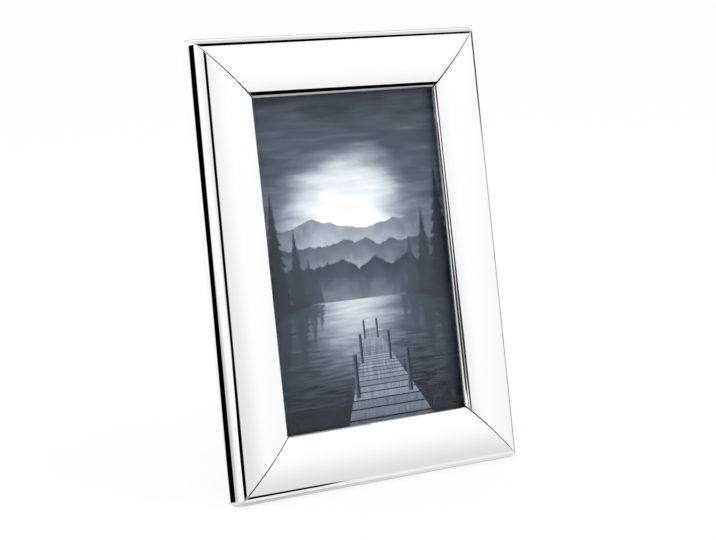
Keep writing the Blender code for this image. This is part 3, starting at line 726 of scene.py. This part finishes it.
def plate(outline, holes, front, back, edge, foot=None):
    # flat piece with eased edges: its outline runs anticlockwise seen from the front,
    # and its holes are (x, z, radius)
    contours = [outline] + [arc(x, z, radius, 2 * pi, 0, 28)[:-1] for x, z, radius in holes]
    levels = [(edge, front), (edge * 0.3, front + edge * 0.3), (0, front + edge),
              (0, back - edge), (edge * 0.3, back - edge * 0.3), (edge, back)]
    points, faces = [], []
    rims = {0: [], len(levels) - 1: []}
    for contour in contours:
        count = len(contour)
        for number, (inset, y) in enumerate(levels):
            start = len(points)
            for x, z in shifted(contour, inset):
                points.append((x, y, max(z, foot[0] + foot[1] * y) if foot else z))
            if number:
                faces += joined(start, start - count, count)
            if number in rims:
                rims[number].append(range(start, start + count))
    for number, loops in rims.items():
        order = [index for loop in loops for index in loop]
        flat = [[Vector((points[index][0], points[index][2], 0)) for index in loop] for loop in loops]
        for triangle in tessellate_polygon(flat):
            corners = [order[item] for item in triangle]
            first, second, third = (Vector((points[index][0], points[index][2])) for index in corners)
            turning = (second - first).cross(third - first)
            if abs(turning) > 1e-9:
                faces.append(tuple(corners if (turning > 0) == (number == 0) else reversed(corners)))
    return points, faces


def turned(profile, centre, axis="Y", closed=False, segments=36):
    # profile of (radius, height) points from the far end of the axis to the near end
    points, rings, faces = [], [], []
    for radius, height in profile:
        count = segments if radius > 0 else 1
        rings.append(range(len(points), len(points) + count))
        for number in range(count):
            a, b = radius * cos(2 * pi * number / segments), radius * sin(2 * pi * number / segments)
            spot = (a, height, -b) if axis == "Y" else (height, b, -a)
            points.append(tuple(value + shift for value, shift in zip(spot, centre)))
    pairs = list(zip(rings, rings[1:])) + ([(rings[-1], rings[0])] if closed else [])
    for upper, lower in pairs:
        for number in range(segments):
            following = (number + 1) % segments
            corners = [upper[number % len(upper)], lower[number % len(lower)],
                       lower[following % len(lower)], upper[following % len(upper)]]
            faces.append(tuple(dict.fromkeys(corners)))
    return points, faces


def block(low, high):
    points = [(x, y, z) for x in (low[0], high[0]) for y in (low[1], high[1]) for z in (low[2], high[2])]
    return points, [(0, 1, 3, 2), (4, 6, 7, 5), (0, 4, 5, 1), (2, 3, 7, 6), (0, 2, 6, 4), (1, 5, 7, 3)]


def moved(shape, matrix):
    points, faces = shape
    return [tuple(matrix @ Vector(point)) for point in points], faces


def addShape(name, shape, look, slot, node, body="frame", matrix=leanMatrix):
    addPiece(name, meshFrom(name, *shape), look, slot, body, matrix, (node,))


rivetSize = {
    "radius": 1.1,
    "headRadius": 2.3,
    "headHeight": 0.9,
    "clinchRadius": 1.9,
    "clinchHeight": 0.5,
    "edge": 0.12,
}


def rivet(x, y, z, grip):
    # the shank starts at y, with the clinched end in front of it and the domed head behind the grip
    size = rivetSize
    edge = size["edge"]
    profile = [(radius * size["headRadius"], grip + edge + height * (size["headHeight"] - edge))
               for radius, height in arc(0, 0, 1, pi / 2, 0, 12)]
    profile[0] = (0, profile[0][1])
    profile += [(size["headRadius"] - edge, grip), (size["radius"], grip), (size["radius"], 0),
                (size["clinchRadius"] - edge, 0), (size["clinchRadius"], -edge),
                (size["clinchRadius"], edge - size["clinchHeight"]),
                (size["clinchRadius"] - edge, -size["clinchHeight"]), (0, -size["clinchHeight"])]
    return turned(profile, (x, y, z))


screwSize = {
    "seat": 0.3,                      # under the head, above the rail
    "headRadius": 2.3,
    "headHeight": 1.3,
    "radius": 1.2,
    "length": 4.6,
    "threadPitch": 0.5,
    "threadDepth": 0.14,
    "threadStart": -1.0,
    "plainTip": 0.4,
    "tipShare": 0.75,                 # of the radius
    "rim": 0.16,
    "slotWidth": 0.8,
    "slotDepth": 0.7,
    "cutter": (1.0, 3.0),             # reach past the head, and height
    "keyLine": 9.6,                   # outer wall to the screws' lines
    "keyReach": 24.0,
}


def combined(name, operation, *shapes):
    # exact Boolean of the first shape with the others, made with temporary objects
    items = [newObject(name, meshFrom(name, *shape)) for shape in shapes]
    for other in items[1:]:
        change = items[0].modifiers.new("change", "BOOLEAN")
        change.operation = operation
        change.solver = "EXACT"
        change.object = other
    bpy.context.view_layer.update()
    mesh = bpy.data.meshes.new_from_object(items[0].evaluated_get(bpy.context.evaluated_depsgraph_get()))
    for item in items:
        bpy.data.objects.remove(item, do_unlink=True)
    mesh.set_sharp_from_angle(angle=radians(sharpFrom))
    mesh.name = name
    return mesh


def slottedScrew():
    # one screw along Y with a slot cut across its domed head, copied for all eight places
    size = screwSize
    rim = size["rim"]
    profile = [(radius * size["headRadius"], size["seat"] + rim + height * (size["headHeight"] - rim))
               for radius, height in arc(0, 0, 1, pi / 2, 0, 14)]
    profile[0] = (0, profile[0][1])
    profile += [(size["headRadius"] - rim / 2, size["seat"]), (size["radius"], size["seat"])]
    height = size["threadStart"]
    while height > size["plainTip"] - size["length"]:
        profile.append((size["radius"], height))
        profile.append((size["radius"] - size["threadDepth"], height - size["threadPitch"] / 2))
        height -= size["threadPitch"]
    profile += [(size["radius"] * size["tipShare"], -size["length"]), (0, -size["length"])]
    floor = size["seat"] + size["headHeight"] - size["slotDepth"]
    past, high = size["cutter"]
    reach = size["headRadius"] + past
    half = size["slotWidth"] / 2
    cutter = block((-reach, floor, -half), (reach, floor + high, half))
    return combined("keyScrew", "DIFFERENCE", turned(profile, (0, 0, 0)), cutter)


def addKeyScrews():
    blank = slottedScrew()
    line, reach = screwSize["keyLine"], screwSize["keyReach"]
    for level, side in ((0, -1), (0, 1), (1, -1), (1, 1)):
        corner = ("bottom", "top")[level] + ("Left" if side < 0 else "Right")
        node = "key_screw_%s_%s_" % (("bottom", "top")[level], "left" if side < 0 else "right")
        for letter, inX, inZ in (("A", reach, line), ("B", line, reach)):
            x = side * (railSize["outerWidth"] / 2 - inX)
            z = railSize["outerHeight"] * level + (inZ if level == 0 else -inZ)
            mesh = blank.copy()
            mesh.name = corner + "KeyScrew" + letter
            addPiece(mesh.name, mesh, "nickel", "plated_steel", "frame",
                     leanMatrix @ Matrix.Translation(Vector((x, 0, z)) * mm), (node + letter.lower(),))
    bpy.data.meshes.remove(blank)


buttonSize = {
    "inset": 10.5,                    # outer wall to the rivet
    "spread": 84.0,
    "heelRadius": 4.2,
    "tipRadius": 3.0,
    "reach": 12.5,
    "holeRadius": 1.4,
    "front": 0.3,
    "thickness": 0.8,
    "edge": 0.18,
    "rivetY": -1.1,
    "rivetGrip": 2.5,
}


def addTurnButtons():
    size = buttonSize
    slope = asin((size["heelRadius"] - size["tipRadius"]) / size["reach"])
    outline = arc(0, 0, size["heelRadius"], pi / 2 - slope, pi * 1.5 + slope, 28)
    outline += arc(size["reach"], 0, size["tipRadius"], slope - pi / 2, pi / 2 - slope, 18)
    front = size["front"]
    button = plate(outline, [(0, 0, size["holeRadius"])], front, front + size["thickness"], size["edge"])
    for side, sideName in ((-1, "left"), (1, "right")):
        for level, levelName in ((-1, "lower"), (1, "upper")):
            x = side * (railSize["outerWidth"] / 2 - size["inset"])
            z = railSize["outerHeight"] / 2 + level * size["spread"] / 2
            node = "turn_button_%s_%s" % (sideName, levelName)
            facing = Matrix.Rotation(0 if side < 0 else pi, 4, "Y")
            spot = sideName + levelName.title()
            addShape(spot + "TurnButton", moved(button, Matrix.Translation((x, 0, z)) @ facing),
                     "nickel", "plated_steel", node, node)
            addShape(spot + "ButtonRivet", rivet(x, size["rivetY"], z, size["rivetGrip"]),
                     "nickel", "plated_steel", "turn_button_rivet_%s_%s" % (sideName, levelName))


hingeSize = {
    "leafFront": 0.3,
    "sheet": 0.8,
    "leafHeight": 20.0,
    "inner": 7.3,                     # middle to the fixed barrels
    "outer": 15.3,
    "notchTop": 2.8,
    "barrelRadius": 2.2,
    "curlEnd": 112.0,                 # degrees, where the rolled sheet stops above the pin
    "holeRadius": 1.4,
    "cornerRadius": 1.2,
    "edge": 0.12,
    "pinRadius": 0.9,
    "pinEnd": 15.6,
    "pinHeadRadius": 1.6,
    "pinHeadHeight": 0.7,
    "pinHeadRounding": ((0.35, 0), (0.1, 0.12), (0, 0.35)),    # in and down from its corner
    "pinHeadEdge": 0.05,
    "rivetX": 11.3,
    "rivetZ": 13.0,
    "rivetY": -2.2,
    "rivetGrip": 3.6,
}


def rolledSheet(low, high, centreY, centreZ):
    # sheet rolled round the pin, from the front of the leaf, under the pin and back over it
    size = hingeSize
    outer, inner = size["barrelRadius"], size["barrelRadius"] - size["sheet"]
    start, end = pi, 2 * pi + radians(size["curlEnd"])
    section = arc(centreY, centreZ, outer, start, end, 44) + arc(centreY, centreZ, inner, end, start, 44)
    edge = size["edge"]
    rings = [(low, edge), (low + edge, 0), (high - edge, 0), (high, edge)]
    points, faces = [], []
    count = len(section)
    for number, (x, inset) in enumerate(rings):
        start = len(points)
        points += [(x, y, z) for y, z in shifted(section, inset)]
        if number:
            faces += joined(start - count, start, count)
    return points, faces + cutEnds(count, len(points) - count)


def addHinge():
    size = hingeSize
    inner, outer, corner = size["inner"], size["outer"], size["cornerRadius"]
    axisY, axisZ = standing["hingeY"], standing["hingeHeight"]
    top = size["leafHeight"]
    notch = size["notchTop"]
    outline = [(-outer, 0), (-inner, 0), (-inner, notch), (inner, notch), (inner, 0), (outer, 0)]
    outline += arc(outer - corner, top - corner, corner, 0, pi / 2, 8)
    outline += arc(corner - outer, top - corner, corner, pi / 2, pi, 8)
    outline = [(x, axisZ + z) for x, z in outline]
    holes = [(side * size["rivetX"], axisZ + size["rivetZ"], size["holeRadius"]) for side in (-1, 1)]
    leaf = combined("fixedHingeLeaf", "UNION",
                    plate(outline, holes, size["leafFront"], size["leafFront"] + size["sheet"], size["edge"]),
                    rolledSheet(-outer, -inner, axisY, axisZ), rolledSheet(inner, outer, axisY, axisZ))
    addPiece("fixedHingeLeaf", leaf, "nickel", "plated_steel", "frame", leanMatrix, ("hinge_leaf_fixed",))

    end, head, height = size["pinEnd"], size["pinHeadRadius"], size["pinHeadHeight"]
    half = [(0, end + height)] + [(head - a, end + height - b) for a, b in size["pinHeadRounding"]]
    half += [(head, end + size["pinHeadEdge"]), (head - size["pinHeadEdge"], end), (size["pinRadius"], end)]
    profile = half + [(radius, -spot) for radius, spot in half[::-1]]
    addShape("hingePin", turned(profile, (0, axisY, axisZ), "X"), "nickel", "plated_steel", "hinge_pin")
    for side, sideName in ((-1, "left"), (1, "right")):
        shape = rivet(side * size["rivetX"], size["rivetY"], axisZ + size["rivetZ"], size["rivetGrip"])
        addShape(sideName + "BoardRivet", shape, "nickel", "plated_steel", "board_rivet_" + sideName)


strutSize = {
    "front": -0.3,                    # the strut's own axes start on the pin, with the strut hanging down
    "thickness": 2.8,
    "top": -3.1,
    "topWidth": 30.0,
    "footWidth": 47.74,               # below the foot, where the outline ends before the table cuts it
    "footReach": 126.733,             # pin to the table along the strut's front
    "footSpare": 1.0,                 # outline below the table, cut off
    "cornerRadius": 3.0,
    "cornerSteps": 24,
    "edge": 0.35,
    "rivets": (("a", -11.0), ("b", -22.0)),
    "rivetY": -1.7,
    "rivetGrip": 4.5,
    "leafFront": -1.4,
    "leafHalf": 7.0,
    "leafEnd": -28.0,
    "lipFront": -1.1,
    "lipHeight": 7.0,
}


def addStrut():
    size = strutSize
    ride = dict(body="strut", matrix=strutMatrix)
    low = -size["footReach"] - size["footSpare"]
    outline = [(-size["footWidth"] / 2, low), (size["footWidth"] / 2, low)]
    corners = outline + [(size["topWidth"] / 2, size["top"]), (-size["topWidth"] / 2, size["top"])]
    roundings = rounded(corners, size["cornerRadius"], size["cornerSteps"])
    outline += roundings[len(roundings) // 2:]
    holes = [(0, z, hingeSize["holeRadius"]) for letter, z in size["rivets"]]
    cut = tan(radians(standing["strutSpread"] - standing["lean"]))
    shape = plate(outline, holes, size["front"], size["front"] + size["thickness"], size["edge"],
                  (-size["footReach"], -cut))
    addShape("strutBoard", shape, "velour", "black_velour", "strut", **ride)

    half, edge = size["leafHalf"], hingeSize["edge"]
    sheet, radius = hingeSize["sheet"], hingeSize["barrelRadius"]
    corner = hingeSize["cornerRadius"]
    strap = [(half, 0), (-half, 0)]
    strap += arc(corner - half, size["leafEnd"] + corner, corner, pi, pi * 1.5, 8)
    strap += arc(half - corner, size["leafEnd"] + corner, corner, -pi / 2, 0, 8)
    lip = [(-half, 0), (half, 0)] + arc(half - corner, size["lipHeight"] - corner, corner, 0, pi / 2, 8)
    lip += arc(corner - half, size["lipHeight"] - corner, corner, pi / 2, pi, 8)
    barrel = [(radius - sheet, half), (radius - edge, half), (radius, half - edge), (radius, edge - half),
              (radius - edge, -half), (radius - sheet, -half)]
    leaf = combined("movingHingeLeaf", "UNION",
                    plate(strap, holes, size["leafFront"], size["leafFront"] + sheet, edge),
                    moved(plate(lip, [], size["lipFront"], size["lipFront"] + sheet, edge),
                          Matrix.Rotation(radians(-standing["strutSpread"]), 4, "X")),
                    turned(barrel, (0, 0, 0), "X", closed=True))
    addPiece("movingHingeLeaf", leaf, "nickel", "plated_steel", replaces=("hinge_leaf_moving",), **ride)
    for letter, z in size["rivets"]:
        addShape("strutRivet" + letter.upper(), rivet(0, size["rivetY"], z, size["rivetGrip"]),
                 "nickel", "plated_steel", "strut_rivet_" + letter, **ride)


addKeyScrews()
addTurnButtons()
addHinge()
addStrut()
print("hardware and strut made")


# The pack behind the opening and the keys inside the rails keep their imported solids

packLooks = {
    "glass_pane": "glass",
    "photo_print": "print",
    "backing_card": "card",
    "back_board": "velour",
    "corner_key_bottom_left": "aluminium",
    "corner_key_bottom_right": "aluminium",
    "corner_key_top_left": "aluminium",
    "corner_key_top_right": "aluminium",
}
for nodeName, look in packLooks.items():
    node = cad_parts[nodeName]
    node.data.materials.clear()
    node.data.materials.append(looks[look])
print("packed solids finished")


# Studio

cameraSettings = {
    "place": (-0.43218, -0.70136, 0.25743),
    "turn": (78.3575, -0.3467, -31.9068),    # degrees
    "lens": 98.3,                            # mm on a 36 mm sensor
}

floorSettings = {
    "size": 14.0,
    "colour": (0.90, 0.90, 0.90),
    "shadowShare": 0.16,              # how much of its real shading the white table shows
}

lampSettings = (                      # name, place, size in metres, power in watts
    ("leftSoftbox", (-0.9, -0.9, 1.1), 0.9, 6.5),
    ("rightSoftbox", (1.0, -0.7, 0.9), 0.8, 3.2),
)
lampAim = (0, 0, 0.09)                # middle of the frame

# White screens all round, as polished metal sees them. Azimuth is from the front towards +X,
# and elevation from the table's level, in degrees. Darkness is 0 for white and 1 for black, and below 0
# it adds light. Three numbers make a sloped limit: its level, its slope and what is first added to the
# other angle.
screenSettings = {
    "level": 1.0,                     # light on dull surfaces
    "mirrorLevel": 1.05,              # light in the metal, which takes a little of it away
    "lowFade": {"elevation": (14.0, -30.0), "darkness": 0.26},
    "frontFade": {"azimuth": (26.0, -6.0), "elevation": (3.0, 20.0), "darkness": (0.22, 0.09),
                  "left": -14.0},
    "frontGap": {"right": (-5.2, 0.6, -10.0), "width": 3.8, "widening": (8.5, 3.6, 15.0),
                 "elevation": (-3.0, 22.0)},
    "sideGap": {"inner": (10.3, 0.392, 61.0), "outer": (0.4, 0.30, 114.0), "back": (-152.4, 0.65, 12.5),
                "front": -50.0},
    "sideGrey": {"inner": (3.6, 0.392, 61.0), "outer": (10.8, 0.392, 61.0),
                 "elevation": (-25.0, 0.0), "darkness": 0.30},
    "edgeGap": {"azimuth": (84.0, 147.0), "lower": (0.4, -0.213, -100.0), "upper": 10.0, "darkness": 0.85},
    "lowGap": {"left": 15.0, "right": (34.3, -0.35, 28.0), "elevation": (-35.6, -28.0)},
    "patches": (                      # azimuths, elevations, darkness, softness across and up
        ((34.0, 62.0), (-56.0, -31.0), -0.16, 3.0, 1.5),       # light on the table, ahead and right
        ((-168.0, -141.0), (-30.0, 10.0), -0.13, 6.0, 8.0),    # light behind, left
        ((98.0, 165.0), (-30.0, 22.0), 0.62, 6.0, 8.0),        # grey behind, right
        ((60.0, 165.0), (-80.0, -58.5), 0.34, 8.0, 2.5),       # grey below, right
        ((124.0, 165.0), (-56.0, -30.0), 0.30, 6.0, 4.0),      # grey between those two
    ),
}


def addCamera():
    data = bpy.data.cameras.new("camera")
    data.lens = cameraSettings["lens"]
    data.sensor_width = 36.0
    data.clip_start = 0.01
    camera = newObject("camera", data)
    camera.location = cameraSettings["place"]
    camera.rotation_euler = [radians(value) for value in cameraSettings["turn"]]
    bpy.context.scene.camera = camera


def addFloor():
    half = floorSettings["size"] / 2 / mm
    corners = [(-half, -half, 0), (half, -half, 0), (half, half, 0), (-half, half, 0)]
    mesh = meshFrom("table", corners, [(0, 1, 2, 3)])
    floor = newObject("table", mesh)
    material, tree, shader = newMaterial("whiteTable")
    colour = (*floorSettings["colour"], 1.0)
    feedAll(tree, shader, {"Base Color": colour, "Roughness": 0.9, "Specular IOR Level": 0.0})
    white = addNode(tree, "ShaderNodeEmission")
    rays = addNode(tree, "ShaderNodeLightPath")
    seen = calc(tree, "MAXIMUM", rays.outputs["Is Camera Ray"], rays.outputs["Is Transmission Ray"])
    mixedWith(tree, shader, calc(tree, "MULTIPLY", seen, 1 - floorSettings["shadowShare"]), white)
    mesh.materials.append(material)
    floor.visible_glossy = False             # the world shows the table's light in the metal


def addLamps():
    for name, place, size, power in lampSettings:
        data = bpy.data.lights.new(name, "AREA")
        data.shape = "SQUARE"
        data.size = size
        data.energy = power
        lamp = newObject(name, data)
        lamp.location = place
        lamp.rotation_euler = (Vector(lampAim) - Vector(place)).to_track_quat("-Z", "Y").to_euler()
        lamp.visible_glossy = False
        lamp.visible_transmission = False


def addWorld():
    world = bpy.data.worlds.new("studio")
    bpy.context.scene.world = world
    world.use_nodes = True
    tree = world.node_tree
    settings = screenSettings
    x, y, z = generatedAxes(tree)
    azimuth = calc(tree, "DEGREES", calc(tree, "ARCTAN2", x, calc(tree, "MULTIPLY", y, -1.0)))
    elevation = calc(tree, "DEGREES", calc(tree, "ARCSINE", z))

    def times(first, second):
        return calc(tree, "MULTIPLY", first, second)

    def above(value, limit, soft=1.0):
        return step(tree, calc(tree, "SUBTRACT", value, limit), -soft, soft)

    def below(value, limit, soft=1.0):
        return step(tree, calc(tree, "SUBTRACT", value, limit), -soft, soft, 1.0, 0.0)

    def between(value, limits, soft=1.0):
        return times(above(value, limits[0], soft), below(value, limits[1], soft))

    def sloped(limit, other):
        level, slope, zero = limit
        return calc(tree, "MULTIPLY_ADD", calc(tree, "ADD", other, zero), slope, level)

    # soft fall towards the table and towards the gap beside the camera
    low = settings["lowFade"]
    light = step(tree, elevation, low["elevation"][1], low["elevation"][0], 1.0 - low["darkness"], 1.0)
    front = settings["frontFade"]
    depth = step(tree, elevation, *front["elevation"], *front["darkness"])
    fade = times(step(tree, azimuth, front["azimuth"][1], front["azimuth"][0], 1.0, 0.0), depth)
    light = calc(tree, "SUBTRACT", light, times(fade, above(azimuth, front["left"], 4.0)))

    # the gaps between the screens
    gap = settings["frontGap"]
    wide, narrow, extra = gap["widening"]
    width = step(tree, elevation, narrow, wide, gap["width"] + extra, gap["width"])
    right = sloped(gap["right"], elevation)
    left = calc(tree, "SUBTRACT", right, width)
    gaps = [times(between(azimuth, (left, right), 0.5), between(elevation, gap["elevation"], 3.0))]

    gap = settings["sideGap"]
    inside = times(above(elevation, sloped(gap["inner"], azimuth), 0.8),
                   below(elevation, sloped(gap["outer"], azimuth), 0.6))
    back = sloped(gap["back"], elevation)
    gaps.append(times(inside, between(azimuth, (back, gap["front"]), 0.5)))

    gap = settings["sideGrey"]
    inside = times(above(elevation, sloped(gap["inner"], azimuth), 2.5),
                   below(elevation, sloped(gap["outer"], azimuth), 1.0))
    gaps.append(times(times(inside, between(elevation, gap["elevation"], 3.0)), gap["darkness"]))

    gap = settings["lowGap"]
    inside = times(above(azimuth, gap["left"]), below(azimuth, sloped(gap["right"], elevation), 0.5))
    gaps.append(times(inside, between(elevation, gap["elevation"], 0.6)))

    gap = settings["edgeGap"]
    inside = times(above(elevation, sloped(gap["lower"], azimuth)), below(elevation, gap["upper"], 2.0))
    gaps.append(times(times(inside, between(azimuth, gap["azimuth"], 3.0)), gap["darkness"]))

    for azimuths, elevations, darkness, softAcross, softUp in settings["patches"]:
        inside = times(between(azimuth, azimuths, softAcross), between(elevation, elevations, softUp))
        gaps.append(times(inside, darkness))
    for inside in gaps:
        light = times(light, calc(tree, "SUBTRACT", 1.0, inside))

    rays = addNode(tree, "ShaderNodeLightPath")
    direct = calc(tree, "MAXIMUM", rays.outputs["Is Camera Ray"], rays.outputs["Is Transmission Ray"])
    mirrored = times(light, settings["mirrorLevel"])
    level = blend(tree, rays.outputs["Is Glossy Ray"], settings["level"], mirrored)
    level = blend(tree, direct, level, 1.0)
    feedAll(tree, tree.nodes["Background"], {"Strength": level, "Color": (1.0, 1.0, 1.0, 1.0)})


# Dark flags, seen only in the metal and each from one side. A low one lies in front of the frame and shows
# in the top rail's inner edge. One hangs over it and shows in the top rail's shoulder. Two upright ones
# stand edge on to the left rail and show in the right rail's inner edge.

flagSettings = {
    "low": {
        "height": 120.0,
        "eye": (0.0, 1.6, 166.0),     # middle of the top rail's inner edge
        "halfRail": 75.0,
        "elevations": (-8.0, -33.5, -75.0),
        "azimuths": (20.0, 50.0),
        "levels": (0.0, 0.42),
    },
    "overhead": {
        "height": 260.0,
        "across": (-64.0, 136.0),
        "deep": ((-46.5, -41.5), (-5.0, -5.0), (52.0, 52.0)),    # front edge, change of level, rear edge
        "levels": (0.0, 0.76),
    },
    "upright": {
        "eye": (-46.0, -32.0),        # the left rail's inner edge, down at the table
        "level": 0.05,
        "rows": (                     # height there, azimuth and elevation from it, near and far reach
            ((31, -6.0, 6.0, 70, 900), (50, -6.0, 7.5, 45, 900), (95, -6.7, 9.0, 22, 198),
             (138, -4.5, 12.0, 25, 88), (152, -3.8, 14.0, 25, 60)),
            ((25, 21.4, 5.5, 322, 380), (34, 21.4, 5.7, 322, 380), (58, 21.4, 6.9, 240, 375),
             (107, 21.4, 9.2, 172, 334), (147, 21.4, 12.8, 117, 288), (174, 21.4, 15.5, 60, 235)),
        ),
    },
}


def addFlag(name, points, faces, levels):
    mesh = meshFrom(name, points, faces)
    for level, face in zip(levels, mesh.polygons):
        material, tree, shader = newMaterial("flagCloth")
        feedAll(tree, shader, {"Base Color": (0.0, 0.0, 0.0, 1.0), "Specular IOR Level": 0.0,
                               "Emission Color": (1.0, 1.0, 1.0, 1.0), "Emission Strength": level})
        clear = addNode(tree, "ShaderNodeBsdfTransparent")
        behind = addNode(tree, "ShaderNodeNewGeometry").outputs["Backfacing"]
        mixedWith(tree, shader, behind, clear)
        mesh.materials.append(material)
        face.material_index = len(mesh.materials) - 1
    flag = newObject(name, mesh)
    flag.visible_camera = flag.visible_diffuse = flag.visible_transmission = flag.visible_shadow = False


def addLowFlag():
    settings = flagSettings["low"]
    eye = Vector(settings["eye"])

    def onFlag(azimuth, elevation, side):
        reach = (eye.z - settings["height"]) / -tan(radians(elevation))
        turn = radians(azimuth)
        x = eye.x + reach * sin(turn) + side * settings["halfRail"]
        return x, eye.y - reach * cos(turn), settings["height"]

    low, high = settings["azimuths"]
    far, middle, near = settings["elevations"]
    points = [onFlag(low, far, -1), onFlag(high, far, 1), onFlag(high, middle, 1), onFlag(low, middle, -1),
              onFlag(high, near, 1), onFlag(low, near, -1)]
    addFlag("lowFlag", points, [(0, 1, 2, 3), (3, 2, 4, 5)], settings["levels"])


def addOverheadFlag():
    settings = flagSettings["overhead"]
    points = [(x, y, settings["height"]) for row in settings["deep"] for x, y in zip(settings["across"], row)]
    addFlag("overheadFlag", points, [(0, 2, 3, 1), (2, 4, 5, 3)], settings["levels"])


def addUprightFlags():
    settings = flagSettings["upright"]
    eyeX, footY = settings["eye"]
    for number, rows in enumerate(settings["rows"]):
        points = []
        for height, azimuth, elevation, near, far in rows:
            eyeY = footY + height * sin(radians(standing["lean"]))
            for reach in (near, far):
                turn = radians(azimuth)
                points.append((eyeX + reach * sin(turn), eyeY - reach * cos(turn),
                               height + reach * tan(radians(elevation))))
        faces = [(row * 2, row * 2 + 2, row * 2 + 3, row * 2 + 1) for row in range(len(rows) - 1)]
        addFlag("uprightFlag%d" % (number + 1), points, faces, [settings["level"]] * len(faces))


addCamera()
addFloor()
addLamps()
addWorld()
addLowFlag()
addOverheadFlag()
addUprightFlags()
bpy.context.scene.view_settings.view_transform = "Standard"
print("studio made")
